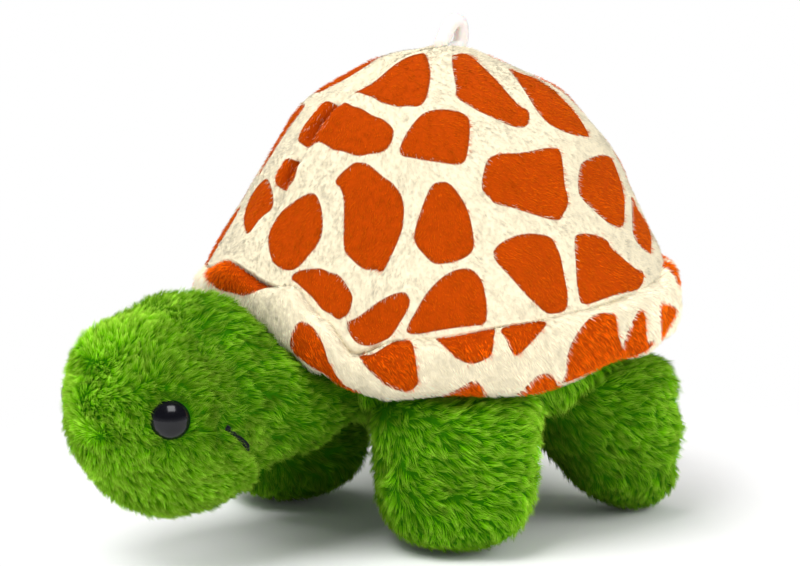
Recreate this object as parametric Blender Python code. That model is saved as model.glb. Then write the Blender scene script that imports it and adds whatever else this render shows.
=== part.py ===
"""Small plush turtle with a giraffe-print shell, as separate sewn, stuffed and moulded pieces.

Metres, +Z up. The turtle stands on the plane z = 0 with its head towards -Y and its own left side at +X.
The origin is on the floor, under the middle of the turtle's bounding box.
"""

import math

import bmesh
import bpy
from mathutils import Matrix, Vector

# Overall places, measured from the upright axis of the shell
BRIM_REACH = 0.0514
NOSE_REACH = 0.0942
SHELL_Y = (NOSE_REACH - BRIM_REACH) / 2

# Pelts, and the clearances that keep neighbouring pieces apart
SEAM_GAP = 0.0003
FILL_GAP = 0.0003
SOCKET_GAP = 0.0004
BODY_PELT = 0.0030
SHELL_PELT = 0.0022
OVERRUN = 0.0100

# Shell: a two-panel dome over a rolled brim
DOME_SETBACK = 0.0022
BRIM_THICKNESS = 0.0089
BRIM_HEIGHT = 0.0185
BRIM_FOOT = 0.0345
SHELL_RADIUS = BRIM_REACH - DOME_SETBACK
BRIM_INNER_RADIUS = BRIM_REACH - BRIM_THICKNESS
CREASE_HEIGHT = BRIM_FOOT + BRIM_HEIGHT
SHELL_TOP = 0.0992
SHELL_TOP_BACK = 0.0022
SEAM_VALLEY = 0.0013
DOME_LEAN = 0.0038

# Outline of the dome from its foot to its top: share of the radius, share of the height
DOME_SHARES = (
    (1.0, 0.0),
    (0.967, 0.055),
    (0.910, 0.15),
    (0.840, 0.29),
    (0.770, 0.45),
    (0.672, 0.615),
    (0.551, 0.76),
    (0.385, 0.875),
    (0.232, 0.947),
    (0.108, 0.987),
    (0.0, 1.0),
)

# The filled dome leans forward most at its shoulder: share of DOME_LEAN at each row of its outline
DOME_LEAN_SHARES = (0, 0.08, 0.16, 0.26, 0.37, 0.53, 0.74, 1.0, 0.84, 0.37, 0)

# Height of the crease and of the brim's foot around the shell: degrees from the front towards the
# turtle's left, and share of CREASE_HEIGHT or BRIM_FOOT. The neck lifts the front, corners hang beside it.
CREASE_SHARES = (
    (-180, 1.01),
    (-140, 1.005),
    (-105, 0.98),
    (-75, 0.93),
    (-48, 0.87),
    (-30, 1.0),
    (-10, 1.08),
    (9, 1.03),
    (21, 0.93),
    (31, 0.825),
    (43, 0.875),
    (72, 0.925),
    (105, 0.98),
    (140, 1.005),
)
BRIM_FOOT_SHARES = (
    (-180, 1.10),
    (-140, 1.10),
    (-105, 1.06),
    (-75, 1.0),
    (-50, 1.02),
    (-32, 1.24),
    (-14, 1.36),
    (0, 1.32),
    (9, 1.28),
    (17, 1.19),
    (24, 1.07),
    (32, 0.99),
    (42, 0.965),
    (70, 0.99),
    (105, 1.09),
    (140, 1.10),
)

# Section of the brim: share of its thickness outwards, share of its height upwards
BRIM_SHARES = (
    (0.50, 0.985),
    (0.78, 0.90),
    (0.95, 0.72),
    (1.0, 0.50),
    (0.97, 0.27),
    (0.83, 0.09),
    (0.62, 0.0),
    (0.34, 0.02),
    (0.10, 0.17),
    (0.0, 0.42),
    (0.0, 0.80),
    (0.12, 0.97),
)

# Body: a flattened tub under the shell
BODY_SIDE_ROOM = 0.0020
BODY_END_ROOM = 0.0017
BODY_HALF_WIDTH = BRIM_INNER_RADIUS - BODY_SIDE_ROOM
BODY_HALF_LENGTH = BRIM_INNER_RADIUS - BODY_END_ROOM
BODY_WAIST_HEIGHT = 0.0365
BELLY_HEIGHT = 0.0165
BACK_HEIGHT = 0.0442
BODY_SQUARENESS = 2.3

# Legs: stumps that end in a ball inside the body
LEG_SPREAD = 0.0266
FRONT_LEG_Y = -0.0210
REAR_LEG_Y = 0.0195
FRONT_LEG_RADIUS = 0.0170
REAR_LEG_RADIUS = 0.0143
FRONT_BALL_RADIUS = 0.0142
REAR_BALL_RADIUS = 0.0135
LEG_PIVOT_HEIGHT = 0.0235
FRONT_FOOT_FORWARD = 0.0005
REAR_FOOT_BACK = 0.0075
FOOT_OUTWARD = 0.0008
BALL_DEGREES = (90, 73, 57, 42)
LEG_SWING_DEGREES = 12

# Room round a leg's top: share of the pivot's height below the pivot, share of the leg's radius
ARCH_SHARES = (
    (-0.13, 0.95),
    (0.10, 0.98),
    (0.22, 1.0),
    (0.60, 1.0),
)

# Outline of a leg from the sole up to its ball: share of the pivot's height, share of the leg's radius
LEG_SHARES = (
    (0.0, 0.27),
    (0.025, 0.46),
    (0.09, 0.68),
    (0.19, 0.85),
    (0.33, 0.97),
    (0.50, 1.0),
    (0.78, 0.93),
)

# Neck: a short barrel between the body's socket and the head
NECK_PIVOT_FORWARD = 0.0440
NECK_PIVOT_HEIGHT = 0.0308
NECK_HALF_WIDTH = 0.0172
NECK_HALF_HEIGHT = 0.0136

# Head: an egg that hangs a little at the nose, from the nod pivot at its middle
HEAD_FORWARD = 0.0730
HEAD_HEIGHT = 0.0318
HEAD_HALF_WIDTH = 0.0200
HEAD_BACK_RADIUS = 0.0208
HEAD_TOP_RADIUS = 0.0226
HEAD_CHIN_RADIUS = 0.0224
HEAD_NAPE_RISE = 0.0014
HEAD_JOWL_DROP = 0.0008
HEAD_BROW = 0.0006
HEAD_JOWL_FLAT = 0.0012
HEAD_MOUTH_RADIUS = 0.0090

# Eyes: domes on ribbed shanks, each locked by a washer behind the pelt
EYE_WIDTH = 0.0080
EYE_DOME = 0.0042
EYE_SIDE_DEGREES = 58
EYE_RISE_DEGREES = 6
EYE_SINK = 0.0016
SHANK_WIDTH = 0.0030
SHANK_LENGTH = 0.0085
SHANK_RIB = 0.0003
WASHER_WIDTH = 0.0085
WASHER_THICKNESS = 0.0012
WASHER_DEPTH = 0.0024

# Mouth: one run of thick thread round the back of the muzzle, sloping down to the throat
THREAD_WIDTH = 0.0009
THREAD_SINK = 0.0006
MOUTH_HALF_DEGREES = 84
MOUTH_SLOPE_DEGREES = 45

# Hanging loop: a closed teardrop of soft plastic, whose foot sits in the shell's top seam
LOOP_RISE = 0.0046
LOOP_WIDTH = 0.0064
LOOP_NARROWING_SHARE = 0.35
LOOP_STRAP_RADIUS = 0.0014
LOOP_SEAT_DEPTH = 0.0012

# Colours as linear red, green, blue
GREEN_PILE = (0.150, 0.400, 0.020)
CREAM_PILE = (0.930, 0.870, 0.620)
POLYESTER_WHITE = (0.850, 0.850, 0.830)
GLOSS_BLACK = (0.006, 0.006, 0.009)
WASHER_NATURAL = (0.700, 0.690, 0.640)
THREAD_NAVY = (0.012, 0.020, 0.035)
MILKY_PLASTIC = (0.900, 0.830, 0.820)

FINISHES = {
    "green_plush": (GREEN_PILE, 0.95),
    "printed_plush": (CREAM_PILE, 0.90),
    "fibre_filling": (POLYESTER_WHITE, 1.0),
    "eye_black": (GLOSS_BLACK, 0.08),
    "washer_plastic": (WASHER_NATURAL, 0.55),
    "thread": (THREAD_NAVY, 0.80),
    "loop_plastic": (MILKY_PLASTIC, 0.35),
}

SEGMENTS = 32
LEG_SEGMENTS = 16
UP = Matrix.Identity(3)
FORWARD = Matrix.Rotation(math.radians(90), 3, "X")

SHELL_CENTRE = Vector((0, SHELL_Y, 0))
TOP_LEAN = Vector((0, SHELL_TOP_BACK, 0))
BODY_CENTRE = SHELL_CENTRE + Vector((0, 0, BODY_WAIST_HEIGHT))
NECK_PIVOT = SHELL_CENTRE + Vector((0, -NECK_PIVOT_FORWARD, NECK_PIVOT_HEIGHT))
HEAD_PIVOT = SHELL_CENTRE + Vector((0, -HEAD_FORWARD, HEAD_HEIGHT))


def clear_scene():
    for item in list(bpy.data.objects):
        bpy.data.objects.remove(item)


def finish_material(name):
    material = bpy.data.materials.get(name)
    if material is None:
        colour, roughness = FINISHES[name]
        material = bpy.data.materials.new(name)
        material.use_nodes = True
        shader = material.node_tree.nodes["Principled BSDF"]
        shader.inputs["Base Color"].default_value = (*colour, 1)
        shader.inputs["Roughness"].default_value = roughness
        shader.inputs["Metallic"].default_value = 0
        material.diffuse_color = (*colour, 1)
    return material


def place(name, shape, finish):
    """Turn a bmesh into a named object of one finish."""
    bmesh.ops.recalc_face_normals(shape, faces=shape.faces)
    mesh = bpy.data.meshes.new(name)
    shape.to_mesh(mesh)
    shape.free()
    mesh.materials.append(finish_material(finish))
    mesh.shade_smooth()
    item = bpy.data.objects.new(name, mesh)
    bpy.context.collection.objects.link(item)
    return item


def loft(name, rings, finish, start_pole=None, end_pole=None, closed=False):
    """Skin a run of rings. A pole closes an end, and closed joins the last ring to the first."""
    shape = bmesh.new()
    rows = [[shape.verts.new(point) for point in ring] for ring in rings]
    pairs = list(zip(rows, rows[1:]))
    if closed:
        pairs.append((rows[-1], rows[0]))
    for lower, upper in pairs:
        for k in range(len(lower)):
            after = (k + 1) % len(lower)
            shape.faces.new((lower[k], lower[after], upper[after], upper[k]))
    for row, pole in ((rows[0], start_pole), (rows[-1], end_pole)):
        if pole is not None:
            tip = shape.verts.new(pole)
            for k in range(len(row)):
                shape.faces.new((row[k], row[(k + 1) % len(row)], tip))
    return place(name, shape, finish)


def cut(item, *cutters):
    """Take each cutter out of an object, and put the cutters away."""
    for cutter in cutters:
        removal = item.modifiers.new("cut", "BOOLEAN")
        removal.operation = "DIFFERENCE"
        removal.object = cutter
        cutter.hide_render = True
        cutter.display_type = "WIRE"


def between(table, degrees):
    """Read a table of degrees and shares that goes right round, eased between its rows."""
    rows = list(table) + [(table[0][0] + 360, table[0][1])]
    for (start, low), (end, high) in zip(rows, rows[1:]):
        if start <= degrees <= end:
            part = (degrees - start) / (end - start)
            ease = part * part * (3 - 2 * part)
            return low + (high - low) * ease
    return table[0][1]


def directions(polar_degrees, segments, frame):
    """Unit directions on one ring, at an angle from the frame's own axis."""
    polar = math.radians(polar_degrees)
    ring = []
    for k in range(segments):
        turn = 2 * math.pi * k / segments
        across = Vector((math.cos(turn), math.sin(turn), 0)) * math.sin(polar)
        ring.append(frame @ (across + Vector((0, 0, math.cos(polar)))))
    return ring


def reach_ring(centre, reach, polar_degrees, frame, segments, inset=0):
    return [centre + d * (reach(d) - inset) for d in directions(polar_degrees, segments, frame)]


def solid_form(name, centre, reach, finish, frame=UP, steps=12, segments=SEGMENTS, inset=0):
    """A closed form around a centre, as far out in each direction as its reach."""
    angles = [180 * k / steps for k in range(1, steps)]
    rings = [reach_ring(centre, reach, angle, frame, segments, inset) for angle in angles]
    near = frame @ Vector((0, 0, 1))
    far = -near
    start = centre + near * (reach(near) - inset)
    end = centre + far * (reach(far) - inset)
    return loft(name, rings, finish, start, end)


def body_reach(d):
    height = BACK_HEIGHT - BODY_WAIST_HEIGHT if d.z > 0 else BODY_WAIST_HEIGHT - BELLY_HEIGHT
    shares = (d.x / BODY_HALF_WIDTH, d.y / BODY_HALF_LENGTH, d.z / height)
    return sum(abs(share) ** BODY_SQUARENESS for share in shares) ** (-1 / BODY_SQUARENESS)


def neck_reach(d):
    around = (d.x ** 2 + d.y ** 2) / NECK_HALF_WIDTH ** 2
    return (around + (d.z / NECK_HALF_HEIGHT) ** 2) ** -0.5


def head_profile(degrees):
    """Reach of the head in its middle plane, from 0 at the nose through 90 at the crown to 180."""
    nose = NOSE_REACH - HEAD_FORWARD
    rows = (
        (-180, HEAD_BACK_RADIUS),
        (-134, HEAD_BACK_RADIUS),
        (-112, HEAD_CHIN_RADIUS + HEAD_JOWL_DROP),
        (-88, HEAD_CHIN_RADIUS),
        (-42, (nose + HEAD_CHIN_RADIUS) / 2 - HEAD_JOWL_FLAT),
        (0, nose),
        (48, (nose + HEAD_TOP_RADIUS) / 2 + HEAD_BROW),
        (84, HEAD_TOP_RADIUS),
        (106, HEAD_TOP_RADIUS + HEAD_NAPE_RISE),
        (134, HEAD_BACK_RADIUS),
    )
    return between(rows, degrees)


def head_reach(d):
    flat = math.hypot(d.y, d.z)
    middle = head_profile(math.degrees(math.atan2(d.z, -d.y)))
    return ((d.x / HEAD_HALF_WIDTH) ** 2 + (flat / middle) ** 2) ** -0.5


def head_ball_reach(d):
    flat = math.hypot(d.y, d.z)
    return ((d.x / HEAD_HALF_WIDTH) ** 2 + (flat / HEAD_BACK_RADIUS) ** 2) ** -0.5


def grown(reach, gap):
    """The same reach, a gap further out."""
    return lambda d: reach(d) + gap


def ball(radius):
    return lambda d: radius


# Shell
def crease_height(degrees):
    return CREASE_HEIGHT * between(CREASE_SHARES, degrees)


def brim_foot_height(degrees):
    return BRIM_FOOT * between(BRIM_FOOT_SHARES, degrees)


def round_shell(degrees, radius, height):
    """A point beside the shell's axis, counted in degrees from the front towards the turtle's left."""
    turn = math.radians(degrees)
    return SHELL_CENTRE + Vector((radius * math.sin(turn), -radius * math.cos(turn), height))


def seam_share(degrees, radius_share):
    """How far the middle seam draws the cloth in, fading towards the top."""
    return (abs(math.sin(math.radians(degrees))) < 0.01) * min(1, max(0, radius_share * 2 - 0.4))


def dome_rings(inset, foot_rise):
    rings = []
    for (radius_share, height_share), lean_share in zip(DOME_SHARES[:-1], DOME_LEAN_SHARES):
        forward = Vector((0, -DOME_LEAN * lean_share, 0))
        ring = []
        for k in range(SEGMENTS):
            degrees = 360 * k / SEGMENTS - 180
            foot = crease_height(degrees) + foot_rise
            height = foot + (SHELL_TOP - inset - foot) * height_share
            valley = SEAM_VALLEY * seam_share(degrees, radius_share)
            point = round_shell(degrees, (SHELL_RADIUS - inset) * radius_share - valley, height)
            ring.append(point + TOP_LEAN * height_share + forward)
        rings.append(ring)
    return rings


def shell_dome(side_name, side):
    outer = dome_rings(0, 0)
    inner = dome_rings(SHELL_PELT, 0)
    top = SHELL_CENTRE + TOP_LEAN + Vector((0, 0, SHELL_TOP))
    under = SHELL_CENTRE + TOP_LEAN + Vector((0, 0, SHELL_TOP - SHELL_PELT))
    panel = loft(f"shell_panel_{side_name}", outer[::-1] + inner, "printed_plush", top, under)
    cut(panel, half_space(f"{side_name}_panel_cut", side), loop_groove(f"{side_name}_panel_groove"))
    return panel


def half_space(name, side):
    """A block that covers the turtle's other side, up to half a seam's gap past the middle."""
    bpy.ops.mesh.primitive_cube_add(size=1)
    block = bpy.context.active_object
    block.name = name
    width = BRIM_REACH + OVERRUN
    edge = side * SEAM_GAP / 2
    for vertex in block.data.vertices:
        vertex.co.x = edge + (vertex.co.x - side / 2) * width
        vertex.co.y = SHELL_Y + vertex.co.y * 2 * width
        vertex.co.z = SHELL_TOP / 2 + vertex.co.z * (SHELL_TOP + 2 * OVERRUN)
    return block


def shell_brim():
    rings = []
    for k in range(SEGMENTS):
        degrees = 360 * k / SEGMENTS - 180
        foot = brim_foot_height(degrees)
        height = crease_height(degrees) - SEAM_GAP - foot
        ring = []
        for out_share, up_share in BRIM_SHARES:
            radius = BRIM_INNER_RADIUS + BRIM_THICKNESS * out_share
            ring.append(round_shell(degrees, radius, foot + height * up_share))
        rings.append(ring)
    return loft("shell_brim", rings, "printed_plush", closed=True)


def shell_stuffing():
    rings = dome_rings(SHELL_PELT + FILL_GAP, SEAM_GAP)
    collar = BRIM_INNER_RADIUS - FILL_GAP
    waist = []
    floor = []
    floor_height = BACK_HEIGHT + SOCKET_GAP
    for k in range(SEGMENTS):
        degrees = 360 * k / SEGMENTS - 180
        waist.append(round_shell(degrees, collar, crease_height(degrees) + SEAM_GAP))
        floor.append(round_shell(degrees, collar, floor_height))
    top = SHELL_CENTRE + TOP_LEAN + Vector((0, 0, SHELL_TOP - SHELL_PELT - FILL_GAP))
    under = SHELL_CENTRE + Vector((0, 0, floor_height))
    return loft("shell_stuffing", rings[::-1] + [waist, floor], "fibre_filling", top, under)


# Body, with sockets for the legs and the neck
def legs():
    """Name, side, pivot, leg radius, ball radius and the foot's place beside the pivot, for each leg."""
    rows = []
    for side_name, side in (("left", 1), ("right", -1)):
        front = SHELL_CENTRE + Vector((side * LEG_SPREAD, FRONT_LEG_Y, LEG_PIVOT_HEIGHT))
        rear = SHELL_CENTRE + Vector((side * LEG_SPREAD, REAR_LEG_Y, LEG_PIVOT_HEIGHT))
        front_foot = Vector((side * FOOT_OUTWARD, -FRONT_FOOT_FORWARD, 0))
        rear_foot = Vector((side * FOOT_OUTWARD, REAR_FOOT_BACK, 0))
        rows.append((f"front_{side_name}", front, FRONT_LEG_RADIUS, FRONT_BALL_RADIUS, front_foot))
        rows.append((f"rear_{side_name}", rear, REAR_LEG_RADIUS, REAR_BALL_RADIUS, rear_foot))
    return rows


def body_pieces():
    cover = solid_form("body_cover", BODY_CENTRE, body_reach, "green_plush", steps=12, segments=28)
    hollow = dict(steps=8, segments=20)
    inner = solid_form("body_hollow", BODY_CENTRE, body_reach, "fibre_filling", inset=BODY_PELT, **hollow)
    cut(cover, inner)
    inset = BODY_PELT + FILL_GAP
    filling = solid_form("body_stuffing", BODY_CENTRE, body_reach, "fibre_filling", inset=inset, **hollow)
    neck_room = solid_form("neck_room", NECK_PIVOT, grown(neck_reach, SOCKET_GAP), "thread", segments=28)
    cut(cover, neck_room)
    cut(filling, neck_room)
    for name, pivot, radius, ball_radius, foot in legs():
        reach = ball(ball_radius + SOCKET_GAP)
        socket = solid_form(f"{name}_socket", pivot, reach, "thread", steps=10, segments=16)
        arch = leg_arch(f"{name}_arch", pivot, radius, foot)
        for item in (cover, filling):
            cut(item, socket, arch)


def ring_middle(ring):
    return sum(ring, Vector()) / len(ring)


def leg_arch(name, pivot, radius, foot):
    """The room round the top of a leg that it sweeps through, longer fore and aft the further down."""
    swing = math.sin(math.radians(LEG_SWING_DEGREES))
    top_share = ARCH_SHARES[0][0]
    rings = []
    for drop_share, wide_share in ARCH_SHARES:
        wide = radius * wide_share + SOCKET_GAP
        long = wide + pivot.z * (drop_share - top_share) * swing
        centre = Vector((pivot.x, pivot.y, pivot.z * (1 - drop_share))) + foot * max(drop_share, 0)
        rings.append([centre + Vector((d.x * wide, d.y * long, 0)) for d in directions(90, 24, UP)])
    return loft(name, rings, "thread", ring_middle(rings[0]), ring_middle(rings[-1]))


# Legs
def leg_rings(pivot, radius, ball_radius, foot, inset):
    """Rings of a leg from its flat sole up over its ball to the mouth."""
    rings = []
    for height_share, radius_share in LEG_SHARES:
        height = max(pivot.z * height_share, inset)
        centre = Vector((pivot.x, pivot.y, height)) + foot * (1 - height_share)
        wide = radius * radius_share - inset
        rings.append([centre + d * wide for d in directions(90, LEG_SEGMENTS, UP)])
    for angle in BALL_DEGREES:
        rings.append([pivot + d * (ball_radius - inset) for d in directions(angle, LEG_SEGMENTS, UP)])
    return rings


def leg_pieces(name, pivot, radius, ball_radius, foot):
    outer = leg_rings(pivot, radius, ball_radius, foot, 0)
    inner = leg_rings(pivot, radius, ball_radius, foot, BODY_PELT)
    sole = Vector((pivot.x, pivot.y, 0)) + foot
    inner_sole = sole + Vector((0, 0, BODY_PELT))
    loft(f"leg_{name}_cover", outer + inner[::-1], "green_plush", sole, inner_sole)
    inset = BODY_PELT + FILL_GAP
    filling = leg_rings(pivot, radius, ball_radius, foot, inset)
    foot_of_filling = sole + Vector((0, 0, inset))
    top_of_filling = pivot + Vector((0, 0, ball_radius - BODY_PELT))
    loft(f"leg_{name}_stuffing", filling, "fibre_filling", foot_of_filling, top_of_filling)


# Neck
def neck_pieces():
    room_reach = grown(head_ball_reach, SOCKET_GAP)
    head_room = solid_form("head_room", HEAD_PIVOT, room_reach, "thread", frame=FORWARD, segments=22)
    facets = dict(steps=10, segments=20, frame=FORWARD)
    cover = solid_form("neck_cover", NECK_PIVOT, neck_reach, "green_plush", **facets)
    hollow = solid_form("neck_hollow", NECK_PIVOT, neck_reach, "fibre_filling", inset=BODY_PELT, **facets)
    inset = BODY_PELT + FILL_GAP
    filling = solid_form("neck_stuffing", NECK_PIVOT, neck_reach, "fibre_filling", inset=inset, **facets)
    cut(cover, hollow)
    cut(cover, head_room)
    cut(filling, head_room)


# Head
def eye_frame(side):
    """Centre of an eye's foot and its outward frame."""
    turn = math.radians(EYE_SIDE_DEGREES)
    rise = math.radians(EYE_RISE_DEGREES)
    out = Vector((side * math.sin(turn) * math.cos(rise), -math.cos(turn) * math.cos(rise), math.sin(rise)))
    frame = out.to_track_quat("Z", "Y").to_matrix()
    foot = HEAD_PIVOT + out * (head_reach(out) - EYE_SINK)
    return foot, frame


def lathe_rings(foot, frame, profile, segments):
    """Rings round the frame's own axis, one for each row of radius and place along the axis."""
    rings = []
    for radius, along in profile:
        ring = []
        for k in range(segments):
            turn = 2 * math.pi * k / segments
            local = Vector((radius * math.cos(turn), radius * math.sin(turn), along))
            ring.append(foot + frame @ local)
        rings.append(ring)
    return rings


def turned(name, foot, frame, profile, finish, segments):
    """A turned form on the frame's axis, closed at both ends."""
    start = foot + frame @ Vector((0, 0, profile[0][1]))
    end = foot + frame @ Vector((0, 0, profile[-1][1]))
    return loft(name, lathe_rings(foot, frame, profile, segments), finish, start, end)


def eye_profile():
    """Half an egg, then a shank with three ribs, as rows of radius and place along the eye's axis."""
    rows = []
    steps = 6
    for k in range(1, steps + 1):
        angle = math.pi / 2 * k / steps
        rows.append((EYE_WIDTH / 2 * math.sin(angle), EYE_DOME * math.cos(angle)))
    shank = SHANK_WIDTH / 2
    rows.append((shank, 0))
    ribs = 3
    for k in range(1, 2 * ribs):
        rib = SHANK_RIB if k % 2 else 0
        rows.append((shank - rib, -SHANK_LENGTH * k / (2 * ribs)))
    rows.append((shank, -SHANK_LENGTH))
    return rows


def eye_room_profile():
    """The space that an eye and its washer take out of the head."""
    gap = SEAM_GAP
    washer_top = -WASHER_DEPTH + gap
    washer_foot = -WASHER_DEPTH - WASHER_THICKNESS - gap
    return [
        (EYE_WIDTH / 2 + gap, EYE_DOME),
        (EYE_WIDTH / 2 + gap, -gap),
        (SHANK_WIDTH / 2 + gap, -gap),
        (SHANK_WIDTH / 2 + gap, washer_top),
        (WASHER_WIDTH / 2 + gap, washer_top),
        (WASHER_WIDTH / 2 + gap, washer_foot),
        (SHANK_WIDTH / 2 + gap, washer_foot),
        (SHANK_WIDTH / 2 + gap, -SHANK_LENGTH - gap),
    ]


def washer(name, foot, frame):
    inner = SHANK_WIDTH / 2 + SEAM_GAP
    corners = (
        (inner, -WASHER_DEPTH),
        (WASHER_WIDTH / 2, -WASHER_DEPTH),
        (WASHER_WIDTH / 2, -WASHER_DEPTH - WASHER_THICKNESS),
        (inner, -WASHER_DEPTH - WASHER_THICKNESS),
    )
    return loft(name, lathe_rings(foot, frame, corners, 16), "washer_plastic", closed=True)


def mouth_path(end_room):
    """Points of the mouth's thread, round the back of the muzzle from one corner to the other."""
    points = []
    steps = 22
    half = math.radians(MOUTH_HALF_DEGREES) + end_room / HEAD_HALF_WIDTH
    slope = math.radians(MOUTH_SLOPE_DEGREES)
    for k in range(steps + 1):
        turn = half * (2 * k / steps - 1)
        out = Vector((math.sin(turn), math.cos(turn) * math.cos(slope), -math.cos(turn) * math.sin(slope)))
        points.append(HEAD_PIVOT + out * (head_reach(out) - THREAD_SINK))
    return points


def tube(name, points, plane_normal, radius, finish, sides, closed=False):
    """A round tube along points that lie in one plane."""
    rings = []
    count = len(points)
    for k, point in enumerate(points):
        before = points[(k - 1) % count] if closed or k > 0 else point
        after = points[(k + 1) % count] if closed or k < count - 1 else point
        across = (after - before).normalized().cross(plane_normal).normalized()
        ring = []
        for side in range(sides):
            turn = 2 * math.pi * side / sides
            ring.append(point + (across * math.cos(turn) + plane_normal * math.sin(turn)) * radius)
        rings.append(ring)
    if closed:
        return loft(name, rings, finish, closed=True)
    return loft(name, rings, finish, points[0], points[-1])


def head_mouth_profile():
    """The round opening at the back of the head, where the neck is sewn on."""
    return [(HEAD_MOUTH_RADIUS, 0), (HEAD_MOUTH_RADIUS, -HEAD_BACK_RADIUS - OVERRUN)]


def head_pieces():
    facets = dict(steps=12, segments=22, frame=FORWARD)
    cover = solid_form("head_cover", HEAD_PIVOT, head_reach, "green_plush", **facets)
    hollow = solid_form("head_hollow", HEAD_PIVOT, head_reach, "fibre_filling", inset=BODY_PELT, **facets)
    inset = BODY_PELT + FILL_GAP
    filling = solid_form("head_stuffing", HEAD_PIVOT, head_reach, "fibre_filling", inset=inset, **facets)
    mouth = turned("head_mouth", HEAD_PIVOT, FORWARD, head_mouth_profile(), "thread", 24)
    cut(cover, hollow, mouth)
    for side_name, side in (("left", 1), ("right", -1)):
        foot, frame = eye_frame(side)
        turned(f"eye_{side_name}", foot, frame, eye_profile(), "eye_black", 16)
        washer(f"eye_washer_{side_name}", foot, frame)
        room = turned(f"eye_room_{side_name}", foot, frame, eye_room_profile(), "thread", 16)
        cut(cover, room)
        cut(filling, room)
    slope = math.radians(MOUTH_SLOPE_DEGREES)
    across = Vector((0, math.sin(slope), math.cos(slope)))
    tube("mouth_thread", mouth_path(0), across, THREAD_WIDTH / 2, "thread", 6)
    groove = tube("mouth_groove", mouth_path(SEAM_GAP), across, THREAD_WIDTH / 2 + SEAM_GAP, "thread", 6)
    cut(cover, groove)


# Hanging loop
def loop_axis_height():
    return SHELL_TOP + LOOP_STRAP_RADIUS + SEAM_GAP - LOOP_SEAT_DEPTH


def loop_groove(name):
    """The dent in the dome's top seam that the loop's foot turns in."""
    half = LOOP_WIDTH / 2 + LOOP_STRAP_RADIUS
    centre = SHELL_CENTRE + TOP_LEAN + Vector((0, 0, loop_axis_height()))
    profile = [(LOOP_STRAP_RADIUS + SEAM_GAP, half), (LOOP_STRAP_RADIUS + SEAM_GAP, -half)]
    return turned(name, centre, FORWARD, profile, "thread", 16)


def hang_loop():
    """A closed teardrop of round plastic, widest near its foot."""
    foot = SHELL_CENTRE + TOP_LEAN + Vector((0, 0, loop_axis_height()))
    points = []
    steps = 20
    for k in range(steps):
        turn = 2 * math.pi * k / steps
        up_share = (1 - math.cos(turn)) / 2
        out_share = math.sin(turn) * (1 - LOOP_NARROWING_SHARE * up_share)
        points.append(foot + Vector((0, LOOP_WIDTH / 2 * out_share, LOOP_RISE * up_share)))
    return tube("hang_loop", points, Vector((1, 0, 0)), LOOP_STRAP_RADIUS, "loop_plastic", 10, closed=True)


clear_scene()
shell_dome("left", 1)
shell_dome("right", -1)
shell_brim()
shell_stuffing()
body_pieces()
for leg in legs():
    leg_pieces(*leg)
neck_pieces()
head_pieces()
hang_loop()
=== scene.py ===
"""Small plush turtle: a giraffe-print shell, green limbs, moulded eyes and a hanging loop.

Metres, +Z up, head towards -Y, the turtle's own left at +X.
"""

import math

import bmesh
import bpy
import numpy as np
from mathutils import Matrix, Vector
from mathutils.bvhtree import BVHTree
from mathutils.kdtree import KDTree


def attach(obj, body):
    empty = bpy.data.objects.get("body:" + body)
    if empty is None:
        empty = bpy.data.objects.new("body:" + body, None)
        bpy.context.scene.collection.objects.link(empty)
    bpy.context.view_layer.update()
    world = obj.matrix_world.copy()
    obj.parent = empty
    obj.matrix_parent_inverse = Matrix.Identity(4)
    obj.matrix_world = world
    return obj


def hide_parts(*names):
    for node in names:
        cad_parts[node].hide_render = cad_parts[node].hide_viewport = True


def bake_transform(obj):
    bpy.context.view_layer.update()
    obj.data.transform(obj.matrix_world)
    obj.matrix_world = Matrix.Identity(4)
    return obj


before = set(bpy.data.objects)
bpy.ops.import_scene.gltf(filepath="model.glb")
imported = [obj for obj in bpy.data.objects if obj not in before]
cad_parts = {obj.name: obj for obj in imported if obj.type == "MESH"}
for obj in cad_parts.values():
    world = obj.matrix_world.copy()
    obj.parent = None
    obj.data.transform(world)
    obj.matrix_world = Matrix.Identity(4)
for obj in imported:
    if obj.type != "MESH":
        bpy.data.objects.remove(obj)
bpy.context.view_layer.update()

# Studio: a small tabletop set for a palm-sized toy. A pale paper sweep, soft boxes on the camera's
# left, right and far side, a small one overhead that glints in the eyes, and a pale room that the lens
# sees white and gloss sees pale below and dark above.
CAMERA_TURN = math.radians(49.699)
CAMERA_RISE = math.radians(10.451)
CAMERA_DISTANCE = 0.700
CAMERA_LENS = 150
SENSOR_WIDTH = 36
AIM_HEIGHT = 0.048257
AIM_ASIDE = -0.009025
SHELL_Y = 0.0214
PAPER_RADIUS = 0.60
PAPER_SIDES = 96
PAPER_FADE_START = 0.04
PAPER_FADE_END = 0.13
ROOM_LEVEL = 0.48
WALL_LEVEL = 0.55
CEILING_LEVEL = 0.03
CEILING_START = 0.0
CEILING_END = 0.25


def linear(hex_colour):
    """An sRGB hex colour as linear red, green, blue and alpha."""
    parts = [int(hex_colour[k:k + 2], 16) / 255 for k in (1, 3, 5)]
    return tuple(p / 12.92 if p <= 0.04045 else ((p + 0.055) / 1.055) ** 2.4 for p in parts) + (1,)


def node(tree, kind, settings=None, inputs=None):
    """Add one node with its settings, and set or link its inputs."""
    made = tree.nodes.new(kind)
    for name, value in (settings or {}).items():
        setattr(made, name, value)
    for name, value in (inputs or {}).items():
        if isinstance(value, bpy.types.NodeSocket):
            tree.links.new(value, made.inputs[name])
        else:
            made.inputs[name].default_value = value
    return made


def empty_material(name):
    material = bpy.data.materials.new(name)
    material.use_nodes = True
    material.node_tree.nodes.clear()
    return material, material.node_tree


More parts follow.
